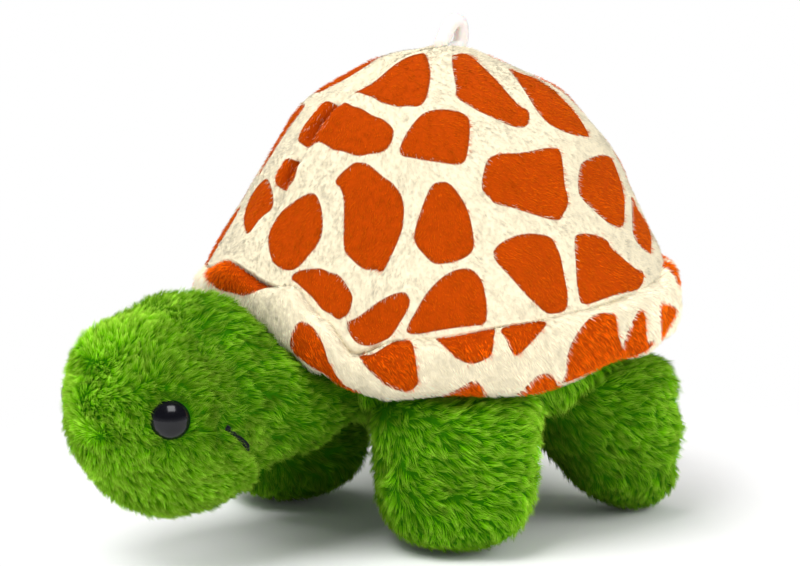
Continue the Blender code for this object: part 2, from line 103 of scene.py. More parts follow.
def round_the_turtle(degrees, rise_degrees, distance):
    """A place seen from the shell at a turn from the front towards the turtle's left, and a rise."""
    turn, rise = math.radians(degrees), math.radians(rise_degrees)
    out = Vector((math.sin(turn) * math.cos(rise), -math.cos(turn) * math.cos(rise), math.sin(rise)))
    return Vector((0, SHELL_Y, AIM_HEIGHT)) + out * distance


beside = Vector((math.cos(CAMERA_TURN), math.sin(CAMERA_TURN), 0))
aim = Vector((0, SHELL_Y, AIM_HEIGHT)) + beside * AIM_ASIDE
towards_lens = Vector((
    math.sin(CAMERA_TURN) * math.cos(CAMERA_RISE),
    -math.cos(CAMERA_TURN) * math.cos(CAMERA_RISE),
    math.sin(CAMERA_RISE),
))
lens = bpy.data.cameras.new("studio_camera")
lens.sensor_width = SENSOR_WIDTH
lens.lens = CAMERA_LENS
camera = bpy.data.objects.new("studio_camera", lens)
bpy.context.scene.collection.objects.link(camera)
camera.location = aim + towards_lens * CAMERA_DISTANCE
camera.rotation_euler = towards_lens.to_track_quat("Z", "Y").to_euler()
bpy.context.scene.camera = camera
bpy.context.scene.view_settings.view_transform = "Standard"

# The card is seen by gloss alone and lights nothing; the boxes light the toy and don't show in the eyes
for light_name, turn, rise, distance, size, power in (
    ("soft_box_left", 10, 56, 0.80, 0.45, 5.3),
    ("soft_box_right", 118, 26, 0.90, 0.60, 3.8),
    ("soft_box_behind", 268, 44, 0.90, 0.60, 3.0),
    ("card_for_the_eyes", 62, 64, 0.80, 0.48, 6.0),
):
    box_light = bpy.data.lights.new(light_name, "AREA")
    box_light.shape = "SQUARE"
    box_light.size = size
    box_light.energy = power
    lamp = bpy.data.objects.new(light_name, box_light)
    bpy.context.scene.collection.objects.link(lamp)
    lamp.location = round_the_turtle(turn, rise, distance)
    lamp.rotation_euler = (lamp.location - aim).to_track_quat("Z", "Y").to_euler()
    lamp.visible_glossy = light_name == "card_for_the_eyes"
    lamp.visible_diffuse = not lamp.visible_glossy

room = bpy.data.worlds.new("pale_room")
room.use_nodes = True
bpy.context.scene.world = room
tree = room.node_tree
tree.nodes.clear()
path = node(tree, "ShaderNodeLightPath")
towards = node(tree, "ShaderNodeTexCoord")
height = node(tree, "ShaderNodeSeparateXYZ", None, {0: towards.outputs["Generated"]})
wall = node(tree, "ShaderNodeMapRange", {"interpolation_type": "SMOOTHSTEP"}, {
    "Value": height.outputs["Z"], "From Min": CEILING_START, "From Max": CEILING_END,
    "To Min": WALL_LEVEL, "To Max": CEILING_LEVEL,
})
gloss_seen = node(tree, "ShaderNodeMath", {"operation": "ADD", "use_clamp": True}, {
    0: path.outputs["Is Glossy Ray"], 1: path.outputs["Is Transmission Ray"],
})
lit = node(tree, "ShaderNodeMapRange", None, {
    "Value": gloss_seen.outputs[0], "To Min": ROOM_LEVEL, "To Max": wall.outputs[0],
})
seen = node(tree, "ShaderNodeMapRange", None, {
    "Value": path.outputs["Is Camera Ray"], "To Min": lit.outputs[0], "To Max": 1,
})
pale = node(tree, "ShaderNodeBackground", None, {"Color": (1, 1, 1, 1), "Strength": seen.outputs[0]})
node(tree, "ShaderNodeOutputWorld", None, {"Surface": pale.outputs[0]})

bpy.ops.object.select_all(action="DESELECT")
bpy.ops.mesh.primitive_circle_add(
    vertices=PAPER_SIDES, radius=PAPER_RADIUS, fill_type="NGON", location=(0, SHELL_Y, 0),
)
paper = bpy.context.active_object
paper.name = "paper_floor"
paper_material, tree = empty_material("matt_paper")
where = node(tree, "ShaderNodeTexCoord")
far = node(tree, "ShaderNodeVectorMath", {"operation": "LENGTH"}, {0: where.outputs["Object"]})
path = node(tree, "ShaderNodeLightPath")
fade = node(tree, "ShaderNodeMapRange", {"interpolation_type": "SMOOTHSTEP"}, {
    "Value": far.outputs["Value"], "From Min": PAPER_FADE_START, "From Max": PAPER_FADE_END,
    "To Max": path.outputs["Is Camera Ray"],
})
matt = node(tree, "ShaderNodeBsdfDiffuse", None, {"Color": linear("#FAFAFA")})
clear = node(tree, "ShaderNodeBsdfTransparent")
both = node(tree, "ShaderNodeMixShader", None, {0: fade.outputs[0], 1: matt.outputs[0], 2: clear.outputs[0]})
node(tree, "ShaderNodeOutputMaterial", None, {"Surface": both.outputs[0]})
paper.data.materials.append(paper_material)


# Shell dome: two sewn panels of short cream pile printed with brown patches, drawn tight over loose
# filling. The panels meet in a middle seam that gathers the pile, and the foot tucks into the crease.
MM = 0.001
SHELL_RADIUS = 0.0492
SHELL_TOP = 0.0992
SHELL_TOP_BACK = 0.0022
CREASE_HEIGHT = 0.0530
DOME_BACKING_DEPTH = 0.0008
DOME_TUCK = 0.0007
DOME_TUCK_HEIGHT = 0.0030
DOME_MIDDLE_HEIGHT = 0.050
DOME_CHART = (49.2, 47.0)
DOME_ROWS = 130
DOME_SOLE = 0.0462
DOME_ARC = 72.0
BRIM_PRINT_START = DOME_ARC + 3
SEAM_DEPTH = 0.0005
SEAM_HALF_WIDTH = 1.3
SEAM_SHOULDER = 2.6
SEAM_BOW = 4.3
PINCHES = ((28.0, 42.0), (45.0, 53.0))
PINCH_DEPTH = 0.0026
CLOTH_SWELL = 0.0005
CLOTH_SWELL_SIZE = 0.016
PUCKER_DEPTH = 0.0004
PUCKER_HEIGHT = 0.007

# Outline of the dome from its foot to its top: share of the radius, share of the height, and how far the
# filling slumps forward there in millimetres
DOME_SHARES = (
    (1.0, 0.0, 2.2), (0.967, 0.055, 2.1), (0.910, 0.15, 2.1), (0.840, 0.29, 1.6), (0.770, 0.45, 1.5),
    (0.672, 0.615, 2.0), (0.551, 0.76, 2.9), (0.385, 0.875, 3.9), (0.232, 0.947, 3.2), (0.108, 0.987, 1.4),
    (0.0, 1.0, 0.0),
)

# Height of the crease round the shell: degrees from the front towards the turtle's left, and share
CREASE_SHARES = (
    (-180, 1.01), (-140, 1.005), (-105, 0.98), (-75, 0.93), (-48, 0.90), (-30, 1.025), (-10, 1.09),
    (11, 1.03), (21, 0.93), (30, 0.825), (41, 0.87), (72, 0.925), (105, 0.98), (140, 1.005),
)

# The print of the dome: each patch as places on the flattened cloth, in half millimetres from the top,
# across towards the turtle's left and from front to back. Patches that the photograph doesn't show are invented
DOME_PATCHES = (
    "-1,-49 4,-42 6,-20 10,-17 22,-23 30,-32 31,-38 25,-41 17,-47",
    "-13,-82 -16,-74 -13,-66 -4,-59 13,-57 27,-53 32,-56 33,-63 28,-72 16,-80 4,-80 -2,-84",
    "36,-43 37,-37 41,-32 47,-28 53,-28 63,-38 65,-44 58,-51 48,-58 39,-59",
    "19,-10 17,-7 19,1 50,1 57,4 61,2 64,-2 64,-7 61,-13 55,-19 49,-22 40,-23 35,-19",
    "27,19 33,22 34,34 53,36 68,35 70,31 71,20 69,13 64,9 54,9 34,15",
    "74,-37 71,-30 75,-15 77,3 80,7 93,2 100,1 104,-4 105,-11 90,-37 84,-41 79,-42",
    "94,12 86,18 82,25 74,47 74,54 89,55 100,50 107,45 110,37 109,28 100,12",
    "83,70 86,78 84,95 106,81 109,77 112,66 110,56 103,57",
    "23,-91 25,-80 28,-76 40,-71 48,-71 54,-73 59,-77 63,-83 65,-96 60,-98 48,-106 42,-106 32,-94 27,-91",
    "64,-56 69,-53 82,-53 94,-57 96,-61 94,-67 90,-73 85,-78 77,-80 72,-80 68,-77 62,-62",
    "-3,-126 -4,-118 1,-110 9,-103 15,-101 22,-104 27,-108 30,-113 30,-120 28,-130 24,-134 14,-135 7,-133",
    "-18,-101 -16,-94 -6,-91 -2,-92 -1,-101 -6,-105 -12,-105",
    "-29,-99 -17,-107 -13,-111 -12,-116 -18,-121 -22,-128 -34,-120 -41,-110 -42,-101",
    "27,-136 37,-122 45,-117 56,-113 59,-115 60,-120 59,-126 57,-129 51,-132 42,-133 34,-136",
    "63,-124 64,-116 70,-107 80,-97 84,-95 88,-97 89,-110 86,-115 77,-121",
    "94,-104 92,-92 92,-82 94,-74 98,-67 102,-63 108,-61 114,-62 120,-65 124,-69 120,-76 103,-98 98,-103",
    "103,-50 104,-33 110,-17 116,-13 122,-12 130,-13 138,-16 141,-20 140,-27 137,-33 128,-40 115,-47",
    "117,-1 114,3 117,24 121,28 127,45 127,54 133,50 139,37 142,14 142,-6 135,-7 126,-3",
    "41,58 30,74 12,60 14,45 18,42",
    "72,87 49,94 39,89 38,83 50,65",
    "-41,-76 -29,-58 -42,-53 -52,-57 -48,-89",
    "-34,-43 -22,-48 -11,-30 -15,-18 -12,-13 -32,-18",
    "-88,-115 -72,-125 -68,-124 -55,-101 -82,-106",
    "3,44 1,59 -15,68 -36,48 -35,39 -19,33",
    "-29,142 -52,135 -45,106 -24,103 -19,109",
    "-95,93 -89,59 -67,66 -68,86",
    "-135,51 -141,29 -112,19 -99,30 -99,45",
    "-47,-43 -42,-18 -61,-7 -73,-22 -60,-47",
    "-144,17 -145,0 -144,-18 -117,-13 -117,8",
    "-72,-50 -84,-28 -101,-28 -102,-55 -91,-60",
    "-35,-9 -19,-3 -24,21 -38,29 -57,5",
    "-108,97 -115,89 -125,72 -131,62 -100,57",
    "-47,37 -48,46 -63,55 -88,47 -87,30 -65,16",
    "16,144 0,145 -18,143 -9,114 9,117",
    "-44,57 -23,76 -26,92 -48,95 -55,88 -56,65",
    "51,136 27,142 19,114 35,100 44,105",
    "-9,103 -15,95 -11,78 6,70 26,85 28,91 11,106",
    "-125,-73 -103,-103 -98,-106 -92,-99 -96,-71 -108,-66",
    "90,114 72,126 62,131 56,105 72,98",
    "-83,-16 -68,3 -92,20 -106,9 -104,-16",
    "-81,-93 -58,-90 -64,-59 -84,-70",
    "-12,4 -8,3 13,31 8,34 -11,22",
    "-142,-29 -134,-56 -130,-64 -114,-56 -113,-24",
    "-63,131 -89,115 -97,106 -63,97 -57,103",
)


def eased(table, degrees):
    """Read a table of degrees and shares that goes right round, eased between its rows."""
    rows = list(table) + [(table[0][0] + 360, table[0][1])]
    degrees = (np.asarray(degrees, float) + 180) % 360 - 180
    out = np.zeros_like(degrees)
    for (start, low), (end, high) in zip(rows, rows[1:]):
        part = np.clip((degrees - start) / (end - start), 0, 1)
        value = low + (high - low) * part * part * (3 - 2 * part)
        out = np.where((degrees >= start) & (degrees <= end), value, out)
    return out


def smooth_step(a, b, c, d, t):
    """A smooth curve from b to c at a share t, between the neighbours a and d."""
    bend, twist = 2 * a - 5 * b + 4 * c - d, 3 * b - a - 3 * c + d
    return 0.5 * (2 * b + (c - a) * t + bend * t ** 2 + twist * t ** 3)


def smooth_rows(table, places):
    """Read a table's rows at shares of its length, on a smooth curve through its rows."""
    rows = np.array(table, float)
    rows = np.vstack([2 * rows[0] - rows[1], rows, 2 * rows[-1] - rows[-2]])
    spot = np.clip(np.asarray(places, float), 0, 1) * (len(table) - 1)
    k = np.minimum(spot.astype(int), len(table) - 2)
    return smooth_step(rows[k], rows[k + 1], rows[k + 2], rows[k + 3], (spot - k)[..., None])


def swell(points, size, seed):
    """A smooth uneven swelling between about -1 and 1, whose humps are about the given size."""
    draw = np.random.default_rng(seed)
    total = np.zeros(points.shape[:-1])
    waves = 9
    for _ in range(waves):
        way = draw.normal(size=3)
        way *= 2 * math.pi / (size * draw.uniform(0.8, 2.0)) / np.linalg.norm(way)
        total += np.sin(points @ way + draw.uniform(0, 2 * math.pi))
    return total / math.sqrt(waves)


def inside_outline(places, outline):
    """Which places on the flattened cloth lie inside one closed outline."""
    x, y = places[..., 0], places[..., 1]
    found = np.zeros(x.shape, bool)
    for (ax, ay), (bx, by) in zip(outline, np.roll(outline, -1, axis=0)):
        if ay == by:
            continue
        crosses = (ay > y) != (by > y)
        found ^= crosses & (x < ax + (y - ay) * (bx - ax) / (by - ay))
    return found


def rounded_outline(text):
    """A patch's outline, a smooth closed curve through its places."""
    b = np.array([[float(v) for v in pair.split(",")] for pair in text.split()]) / 2
    a, c, d = np.roll(b, 1, axis=0), np.roll(b, -1, axis=0), np.roll(b, -2, axis=0)
    curve = smooth_step(a, b, c, d, np.linspace(0, 1, 5)[:-1, None, None])
    return curve.transpose(1, 0, 2).reshape(-1, 2)


# Millimetres on each side of an outline over which the print is read as even
PRINT_BAND = 1.2


def printed(places, patches):
    """1 inside a patch, 0 on the cream ground and 0.5 on the outline."""
    found = np.zeros(places.shape[:-1])
    for patch in patches:
        outline = rounded_outline(patch)
        low, high = outline.min(0) - PRINT_BAND, outline.max(0) + PRINT_BAND
        near = np.all((places >= low) & (places <= high), axis=-1)
        spots, sides = places[near], np.roll(outline, -1, axis=0) - outline
        apart = spots[:, None] - outline
        share = np.clip((apart * sides).sum(-1) / np.maximum((sides ** 2).sum(-1), 1e-9), 0, 1)
        away = np.linalg.norm(apart - share[..., None] * sides, axis=-1).min(1)
        away = np.where(inside_outline(spots, outline), away, -away)
        found[near] = np.maximum(found[near], np.clip(0.5 + away / (2 * PRINT_BAND), 0, 1))
    return found


def seam_line(places):
    """Distance in millimetres across the dome's middle seam, and the share of it that is pinched."""
    x, y = places[..., 0], places[..., 1]
    run = np.hypot(x, y)
    bow = np.where(y < 0, -SEAM_BOW * np.sin(math.pi * np.clip(run / DOME_ARC, 0, 1) ** 3), 0)
    pinch = np.zeros(x.shape)
    for start, end in PINCHES:
        middle, half = (start + end) / 2, (end - start) / 2
        pinch = np.maximum(pinch, np.clip(1.8 - np.abs(run - middle) / half * 1.8, 0, 1))
    return x - bow, np.where(y < 0, pinch, 0)


def skin_object(name, points, faces, marks=None, cloth_places=None):
    """A smooth skin with its normals outward, the print at its points and their places on the cloth."""
    mesh = bpy.data.meshes.new(name)
    mesh.from_pydata(points.tolist(), [], faces)
    shape = bmesh.new()
    shape.from_mesh(mesh)
    bmesh.ops.recalc_face_normals(shape, faces=shape.faces)
    shape.to_mesh(mesh)
    shape.free()
    mesh.shade_smooth()
    for label, values, kind, field in (
        ("marks", marks, "FLOAT", "value"), ("cloth", cloth_places, "FLOAT_VECTOR", "vector"),
    ):
        if values is not None:
            attribute = mesh.attributes.new(label, kind, "POINT")
            attribute.data.foreach_set(field, values.astype(np.float32).ravel())
    made = bpy.data.objects.new(name, mesh)
    bpy.context.scene.collection.objects.link(made)
    return made


def closed_form(name, rows, start_pole, end_pole, marks=None, cloth_places=None):
    """A closed skin over rows of points, with a pole at each end."""
    rows = np.asarray(rows, float)
    steps, around = rows.shape[:2]
    points = np.vstack([rows.reshape(-1, 3), [start_pole], [end_pole]])
    k = np.arange(around)
    after = (k + 1) % around
    faces = []
    for row in range(steps - 1):
        low, high = row * around, (row + 1) * around
        faces += np.stack([low + k, low + after, high + after, high + k], 1).tolist()
    first, last = steps * around, steps * around + 1
    faces += np.stack([np.full(around, first), after, k], 1).tolist()
    low = (steps - 1) * around
    faces += np.stack([low + k, low + after, np.full(around, last)], 1).tolist()

    def with_poles(values):
        flat = np.asarray(values, float).reshape(steps * around, -1)
        return np.vstack([flat, flat[:around].mean(0), flat[-around:].mean(0)])

    read = [None if values is None else with_poles(values) for values in (marks, cloth_places)]
    return skin_object(name, points, faces, *read)


def round_shell(degrees, radius, height):
    turn = np.radians(degrees)
    return np.stack([radius * np.sin(turn), SHELL_Y - radius * np.cos(turn), height], -1)


dome_lengths = np.array(DOME_SHARES)[:, :2] * DOME_CHART
dome_runs = np.concatenate([[0], np.cumsum(np.hypot(*np.diff(dome_lengths, axis=0).T))])
dome_places = np.linspace(0, 1, DOME_ROWS)
dome_profile = smooth_rows(DOME_SHARES, dome_places)
dome_steps = np.arange(len(DOME_SHARES))
dome_run = dome_runs[-1] - np.interp(dome_places * dome_steps[-1], dome_steps, dome_runs)
dome_turns = np.arange(0, 360, 1.0)
turn_grid, run_grid = np.meshgrid(dome_turns, dome_run[:-1])
radius_share = np.broadcast_to(dome_profile[:-1, :1], turn_grid.shape)
height_share = np.broadcast_to(dome_profile[:-1, 1:2], turn_grid.shape)
crease = CREASE_HEIGHT * eased(CREASE_SHARES, turn_grid)
dome_height = crease + (SHELL_TOP - DOME_BACKING_DEPTH - crease) * height_share
dome_radius = (SHELL_RADIUS - DOME_BACKING_DEPTH) * radius_share
dome_radius = dome_radius - DOME_TUCK * np.exp(-((dome_height - crease) / DOME_TUCK_HEIGHT) ** 2)
dome_points = round_shell(turn_grid, dome_radius, dome_height)
dome_points[..., 1] += SHELL_TOP_BACK * height_share - dome_profile[:-1, 2:] * MM
turned = np.radians(turn_grid)
cloth = np.stack([run_grid * np.sin(turned), -run_grid * np.cos(turned)], -1)
across, pinch = seam_line(cloth)
outward = dome_points - (0, SHELL_Y, DOME_MIDDLE_HEIGHT)
outward /= np.linalg.norm(outward, axis=-1, keepdims=True)
valley = np.exp(-(across / SEAM_HALF_WIDTH) ** 2) * (SEAM_DEPTH + PINCH_DEPTH * pinch)
shoulder = np.exp(-((np.abs(across) - SEAM_SHOULDER) / SEAM_HALF_WIDTH) ** 2)
shoulder = shoulder * (SEAM_DEPTH * 0.4 + PINCH_DEPTH * 0.35 * pinch)
relief = shoulder - valley + CLOTH_SWELL * swell(dome_points, CLOTH_SWELL_SIZE, 3)
puckers = np.exp(-((dome_height - crease) / PUCKER_HEIGHT) ** 2) * PUCKER_DEPTH
puckers = puckers * swell(dome_points * (1, 1, 0.2), 0.011, 8)
dome_points = dome_points + outward * (relief + puckers)[..., None]
foot_rows = []
for inward, drop in ((0.0006, 0.0012), (0.0020, 0.0030), (0.0080, 0.0050)):
    foot_row = round_shell(dome_turns, dome_radius[0] - inward, crease[0] - drop)
    foot_rows.append(foot_row - (0, DOME_SHARES[0][2] * MM, 0))
cloth3 = np.concatenate([cloth, np.zeros(cloth.shape[:2] + (1,))], -1)
rows = np.concatenate([np.array(foot_rows[::-1]), dome_points])
cloth_rows = np.concatenate([cloth3[:1]] * len(foot_rows) + [cloth3])
dome_peak = (0, SHELL_Y + SHELL_TOP_BACK, SHELL_TOP - DOME_BACKING_DEPTH)
shell_dome = closed_form(
    "shell_dome", rows, (0, SHELL_Y, DOME_SOLE), dome_peak,
    marks=printed(cloth_rows[..., :2], DOME_PATCHES), cloth_places=cloth_rows,
)


# Pile fibres are fine acrylic, about 0.02 mm thick. They stand in tufts here, drawn as hairs of 0.1 to
# 0.2 mm, which is as coarse as they need to be to show. Each hair carries its shade, its place along
# its length and the print at its root, and its own UV map has the shade and print across and the length up.
def surface(tree, values):
    """End a material in one shader with the given values."""
    shader = node(tree, "ShaderNodeBsdfPrincipled", None, values)
    node(tree, "ShaderNodeOutputMaterial", None, {"Surface": shader.outputs[0]})


def cloth_backing(name, root_hex, spot_hex, rim_hex):
    """Knitted backing under a pile: the colour of the pile's roots, a little darker as painted shade deep in
    the pile, with knit bumps 0.8 mm apart.

    The print is a little darker along its outline, where the dye has gathered."""
    material, tree = empty_material(name)
    where = node(tree, "ShaderNodeTexCoord")
    knit = node(tree, "ShaderNodeTexNoise", None, {
        "Vector": where.outputs["Object"], "Scale": 1 / (0.8 * MM), "Detail": 3,
    })
    marks = node(tree, "ShaderNodeAttribute", {"attribute_name": "marks"})
    ground = node(tree, "ShaderNodeValToRGB", None, {"Fac": marks.outputs["Fac"]})
    elements = ground.color_ramp.elements
    elements[0].position, elements[0].color = 0.42, linear(root_hex)
    elements[1].position, elements[1].color = 0.85, linear(spot_hex)
    elements.new(0.54).color = linear(rim_hex)
    shade = node(tree, "ShaderNodeMapRange", None, {
        "Value": knit.outputs["Fac"], "From Min": 0.3, "From Max": 0.7, "To Min": 0.88, "To Max": 1.04,
    })
    colour = node(tree, "ShaderNodeVectorMath", {"operation": "SCALE"}, {
        0: ground.outputs["Color"], "Scale": shade.outputs[0],
    })
    bump = node(tree, "ShaderNodeBump", None, {
        "Height": knit.outputs["Fac"], "Strength": 0.5, "Distance": 0.2 * MM,
    })
    surface(tree, {
        "Base Color": colour.outputs[0], "Roughness": 0.95, "Normal": bump.outputs[0],
        "Specular IOR Level": 0.05,
    })
    return material


def pile_fibre(name, stops, spot_stops=None):
    """Soft matt acrylic pile, darker towards the roots as painted shade of the pile on itself, each hair as
    light as its own shade.
    """
    material, tree = empty_material(name)
    along = node(tree, "ShaderNodeAttribute", {"attribute_name": "along"})

    def ramp(colours):
        made = node(tree, "ShaderNodeValToRGB", None, {"Fac": along.outputs["Fac"]})
        elements = made.color_ramp.elements
        elements[0].color = linear(colours[0])
        elements[1].color = linear(colours[2])
        elements.new(0.5).color = linear(colours[1])
        return made.outputs["Color"]

    colour = ramp(stops)
    if spot_stops:
        marks = node(tree, "ShaderNodeAttribute", {"attribute_name": "marks"})
        mixed = node(tree, "ShaderNodeMix", {"data_type": "RGBA"}, {
            "Factor": marks.outputs["Fac"], "A": colour, "B": ramp(spot_stops),
        })
        colour = mixed.outputs["Result"]
    shade = node(tree, "ShaderNodeAttribute", {"attribute_name": "shade"})
    level = node(tree, "ShaderNodeMapRange", None, {
        "Value": shade.outputs["Fac"], "To Min": 0, "To Max": 1.8,
    })
    dyed = node(tree, "ShaderNodeVectorMath", {"operation": "SCALE"}, {0: colour, "Scale": level.outputs[0]})
    surface(tree, {"Base Color": dyed.outputs[0], "Roughness": 0.9, "Specular IOR Level": 0.03})
    return material


def unit(vectors):
    return vectors / np.maximum(np.linalg.norm(vectors, axis=-1, keepdims=True), 1e-12)


def surface_tree(obj):
    return BVHTree.FromPolygons([v.co for v in obj.data.vertices], [p.vertices for p in obj.data.polygons])


def buried(points, trees, depth):
    """Which points lie deeper than a depth inside any of the skins whose trees are given."""
    hidden = np.zeros(len(points), bool)
    for skin_tree in trees:
        for k in np.flatnonzero(~hidden):
            spot = Vector(points[k])
            place, normal, _, away = skin_tree.find_nearest(spot)
            hidden[k] = away > depth and (spot - place).dot(normal) < 0
    return hidden


# Tufts for each hair, and how deep a hair's foot stands in its skin
TUFT_SHARE = 0.08
ROOT_DEPTH = 0.0002


def grow_pile(
    name, skin, hairs, seed, length, width, lay, lift, unrest=1.0, keep=None, pattern=None, shade=None,
):
    """Tapered hairs rooted all over a skin, gathered in tufts, each leaning along the lay.

    lay gives a direction for each root, lift how steeply hairs rise in radians, and unrest how far they
    stray from both. keep, pattern and shade read the roots."""
    draw = np.random.default_rng(seed)
    mesh = skin.data
    mesh.calc_loop_triangles()
    corners = np.array([v.co for v in mesh.vertices])
    normals = np.array([n.vector for n in mesh.vertex_normals])
    triangles = np.array([t.vertices for t in mesh.loop_triangles])
    a, b, c = (corners[triangles[:, k]] for k in range(3))
    area = np.linalg.norm(np.cross(b - a, c - a), axis=1)
    chosen = draw.choice(len(triangles), size=hairs, p=area / area.sum())
    s, t = draw.random(hairs), draw.random(hairs)
    fold = s + t > 1
    s, t = np.where(fold, 1 - s, s), np.where(fold, 1 - t, t)
    weights = np.stack([1 - s - t, s, t], 1)
    roots = np.einsum("hk,hkd->hd", weights, corners[triangles[chosen]])
    normal = unit(np.einsum("hk,hkd->hd", weights, normals[triangles[chosen]]))
    cloth = mesh.attributes.get("cloth")
    places = np.zeros((hairs, 3))
    if cloth is not None:
        values = np.zeros(len(corners) * 3)
        cloth.data.foreach_get("vector", values)
        places = np.einsum("hk,hkd->hd", weights, values.reshape(-1, 3)[triangles[chosen]])
    if keep is not None:
        kept = keep(roots)
        roots, normal, places = roots[kept], normal[kept], places[kept]
    hairs = len(roots)
    centres = roots[draw.choice(hairs, size=max(8, int(hairs * TUFT_SHARE)), replace=False)]
    finder = KDTree(len(centres))
    for k, centre in enumerate(centres):
        finder.insert(centre, k)
    finder.balance()
    member = np.array([finder.find(p)[1] for p in roots])
    tuft_draw = draw.normal(size=(len(centres), 4))
    way = lay(roots)
    way = unit(way - normal * np.sum(way * normal, 1)[:, None])
    aside = np.cross(normal, way)
    turn = unrest * (0.35 * tuft_draw[member, 0] + 0.16 * draw.normal(size=hairs))
    way = way * np.cos(turn)[:, None] + aside * np.sin(turn)[:, None]
    rise = np.clip(lift + unrest * (0.16 * tuft_draw[member, 1] + 0.10 * draw.normal(size=hairs)), 0.12, 1.45)
    uneven = unrest * (0.14 * tuft_draw[member, 2] + 0.12 * draw.normal(size=hairs))
    reach = length(roots) * np.clip(1 + uneven, 0.5, 1.5)
    tips = roots + (way * np.cos(rise)[:, None] + normal * np.sin(rise)[:, None]) * reach[:, None]
    count = np.bincount(member, minlength=len(centres))[:, None]
    gathered = np.stack([np.bincount(member, tips[:, k], len(centres)) for k in range(3)], 1)
    tuft_tips = gathered / np.maximum(count, 1)
    tips = tips + (tuft_tips[member] - tips) * (unrest * draw.uniform(0.25, 0.75, hairs))[:, None]
    line = tips - roots
    axis = unit(line)
    side = unit(np.cross(axis, normal) + 1e-6)
    top = np.cross(axis, side)
    thick = width * draw.uniform(0.75, 1.25, hairs)
    points = []
    for angle in (0, 2 * math.pi / 3, 4 * math.pi / 3):
        out = side * math.cos(angle) + top * math.sin(angle)
        points.append(roots - normal * ROOT_DEPTH + out * (thick / 2)[:, None])
    points.append(tips)
    each = len(points)
    points = np.stack(points, 1).reshape(-1, 3)
    points[:, 2] = np.maximum(points[:, 2], 0.0001)
    hair_faces = np.array([(0, 2, 1), (0, 1, 3), (1, 2, 3), (2, 0, 3)])
    faces = (np.arange(hairs)[:, None, None] * each + hair_faces[None]).reshape(-1, 3)
    made = bpy.data.meshes.new(name)
    made.vertices.add(len(points))
    made.vertices.foreach_set("co", points.astype(np.float32).ravel())
    made.loops.add(faces.size)
    made.loops.foreach_set("vertex_index", faces.astype(np.int32).ravel())
    made.polygons.add(len(faces))
    made.polygons.foreach_set("loop_start", np.arange(0, faces.size, 3, dtype=np.int32))
    made.update(calc_edges=True)
    made.shade_smooth()
    rounding = unit(points - np.repeat(roots + line / 2, each, axis=0)) * (0.3 * unrest)
    shaded = unit(np.repeat(normal, each, axis=0) + rounding)
    made.normals_split_custom_set_from_vertices(shaded.tolist())
    tone = np.clip(0.5 + unrest * (0.11 * tuft_draw[member, 3] + 0.08 * draw.normal(size=hairs)), 0.05, 1)
    if shade is not None:
        tone = np.clip(tone * shade(roots, places), 0, 1)
    mark = np.zeros(hairs) if pattern is None else pattern(places, draw)
    along = np.tile([0.0, 0.0, 0.0, 1.0], hairs)
    tones, marks = np.repeat(tone, each), np.repeat(mark, each)
    for label, values in (("shade", tones), ("along", along), ("marks", marks)):
        made.attributes.new(label, "FLOAT", "POINT").data.foreach_set("value", values.astype(np.float32))
    spread = np.tile(np.array([0, 1, 2, 1]) * 0.004, hairs)
    if pattern is None:
        column = 0.01 + 0.97 * tones + spread
    else:
        column = 0.01 + 0.47 * tones + 0.50 * marks + spread
    chart = np.stack([column, 0.02 + 0.96 * along], 1)[faces.ravel()]
    made.uv_layers.new(name="OFBake").data.foreach_set("uv", chart.astype(np.float32).ravel())
    pile = bpy.data.objects.new(name, made)
    bpy.context.scene.collection.objects.link(pile)
    return pile


# Pile colours from root to tip; the darker roots are painted shade of the pile on itself
CREAM_STOPS = ("#F6EAC8", "#FBF0D2", "#FFF6DC")
SPOT_STOPS = ("#C44400", "#E65A00", "#F27C12")
# Backings a little darker than the pile's roots: painted shade deep in the pile
printed_backing = cloth_backing("knitted_polyester_printed", "#EFE3C4", "#B44000", "#933A08")
printed_pile = pile_fibre("printed_acrylic_pile", CREAM_STOPS, SPOT_STOPS)
shell_dome.data.materials.append(printed_backing)
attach(shell_dome, "torso")
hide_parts("shell_panel_left", "shell_panel_right", "shell_stuffing")


def shell_lay(roots):
    """Brushed down the dome and a little round it, in slow swirls."""
    out = unit((roots - (0, SHELL_Y, 0)) * (1, 1, 0))
    around = np.stack([-out[:, 1], out[:, 0], np.zeros(len(out))], 1)
    drift = 0.55 + 0.5 * swell(roots, 0.030, 21)
    return out * 0.5 + (0, 0, -1) + around * drift[:, None]


def ragged_print(patches):
    """The print at a root, with an edge that frays by about half a millimetre."""
    def read(places, draw):
        fray = 0.24 * draw.normal(size=places[:, :2].shape)
        fray += 0.14 * np.stack([swell(places, 3.0, 31), swell(places, 3.0, 32)], 1)
        across, pinch = seam_line(places)
        parted = 0.3 * pinch * (np.abs(across) < 3.2) * (draw.random(len(places)) < 0.3)
        inside = printed(places[:, :2] + fray + 0.4 * unit(places[:, :2]), patches)
        return np.clip(0.5 + (inside - 0.5) * 6, 0, 1) * (1 - parted)
    return read


def dome_shade(roots, places):
    """Painted shade in the pinched seam and a painted highlight on the pile raised beside it, painted light
    towards the turtle's left and back, and mottled like combed pile.
    """
    across, pinch = seam_line(places)
    # Painted shade in the seam's valley, and a painted highlight on the pile raised beside it
    painted_seam_shade = np.exp(-(across / 1.1) ** 2) * (0.03 + 0.74 * pinch)
    pale = np.exp(-((np.abs(across) - 2.4) / 0.9) ** 2) * 0.30 * pinch
    # Painted light: the pile is drawn paler towards the turtle's left and back
    aside = np.clip((roots @ (0.9, 0.4, 0)) / 0.05, 0, 1)
    return (0.85 - painted_seam_shade + pale + 0.07 * aside) * (1 + 0.04 * swell(roots, 0.006, 41))


for part, seed in (("a", 51), ("b", 52)):
    dome_pile = grow_pile(
        f"shell_dome_pile_{part}", shell_dome, 49500, seed, lambda p: np.full(len(p), 0.0012), 0.00015,
        shell_lay, 0.34, unrest=0.45, keep=lambda p: p[:, 2] > 0.0425, pattern=ragged_print(DOME_PATCHES),
        shade=dome_shade,
    )
    dome_pile.data.materials.append(printed_pile)
    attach(dome_pile, "torso")


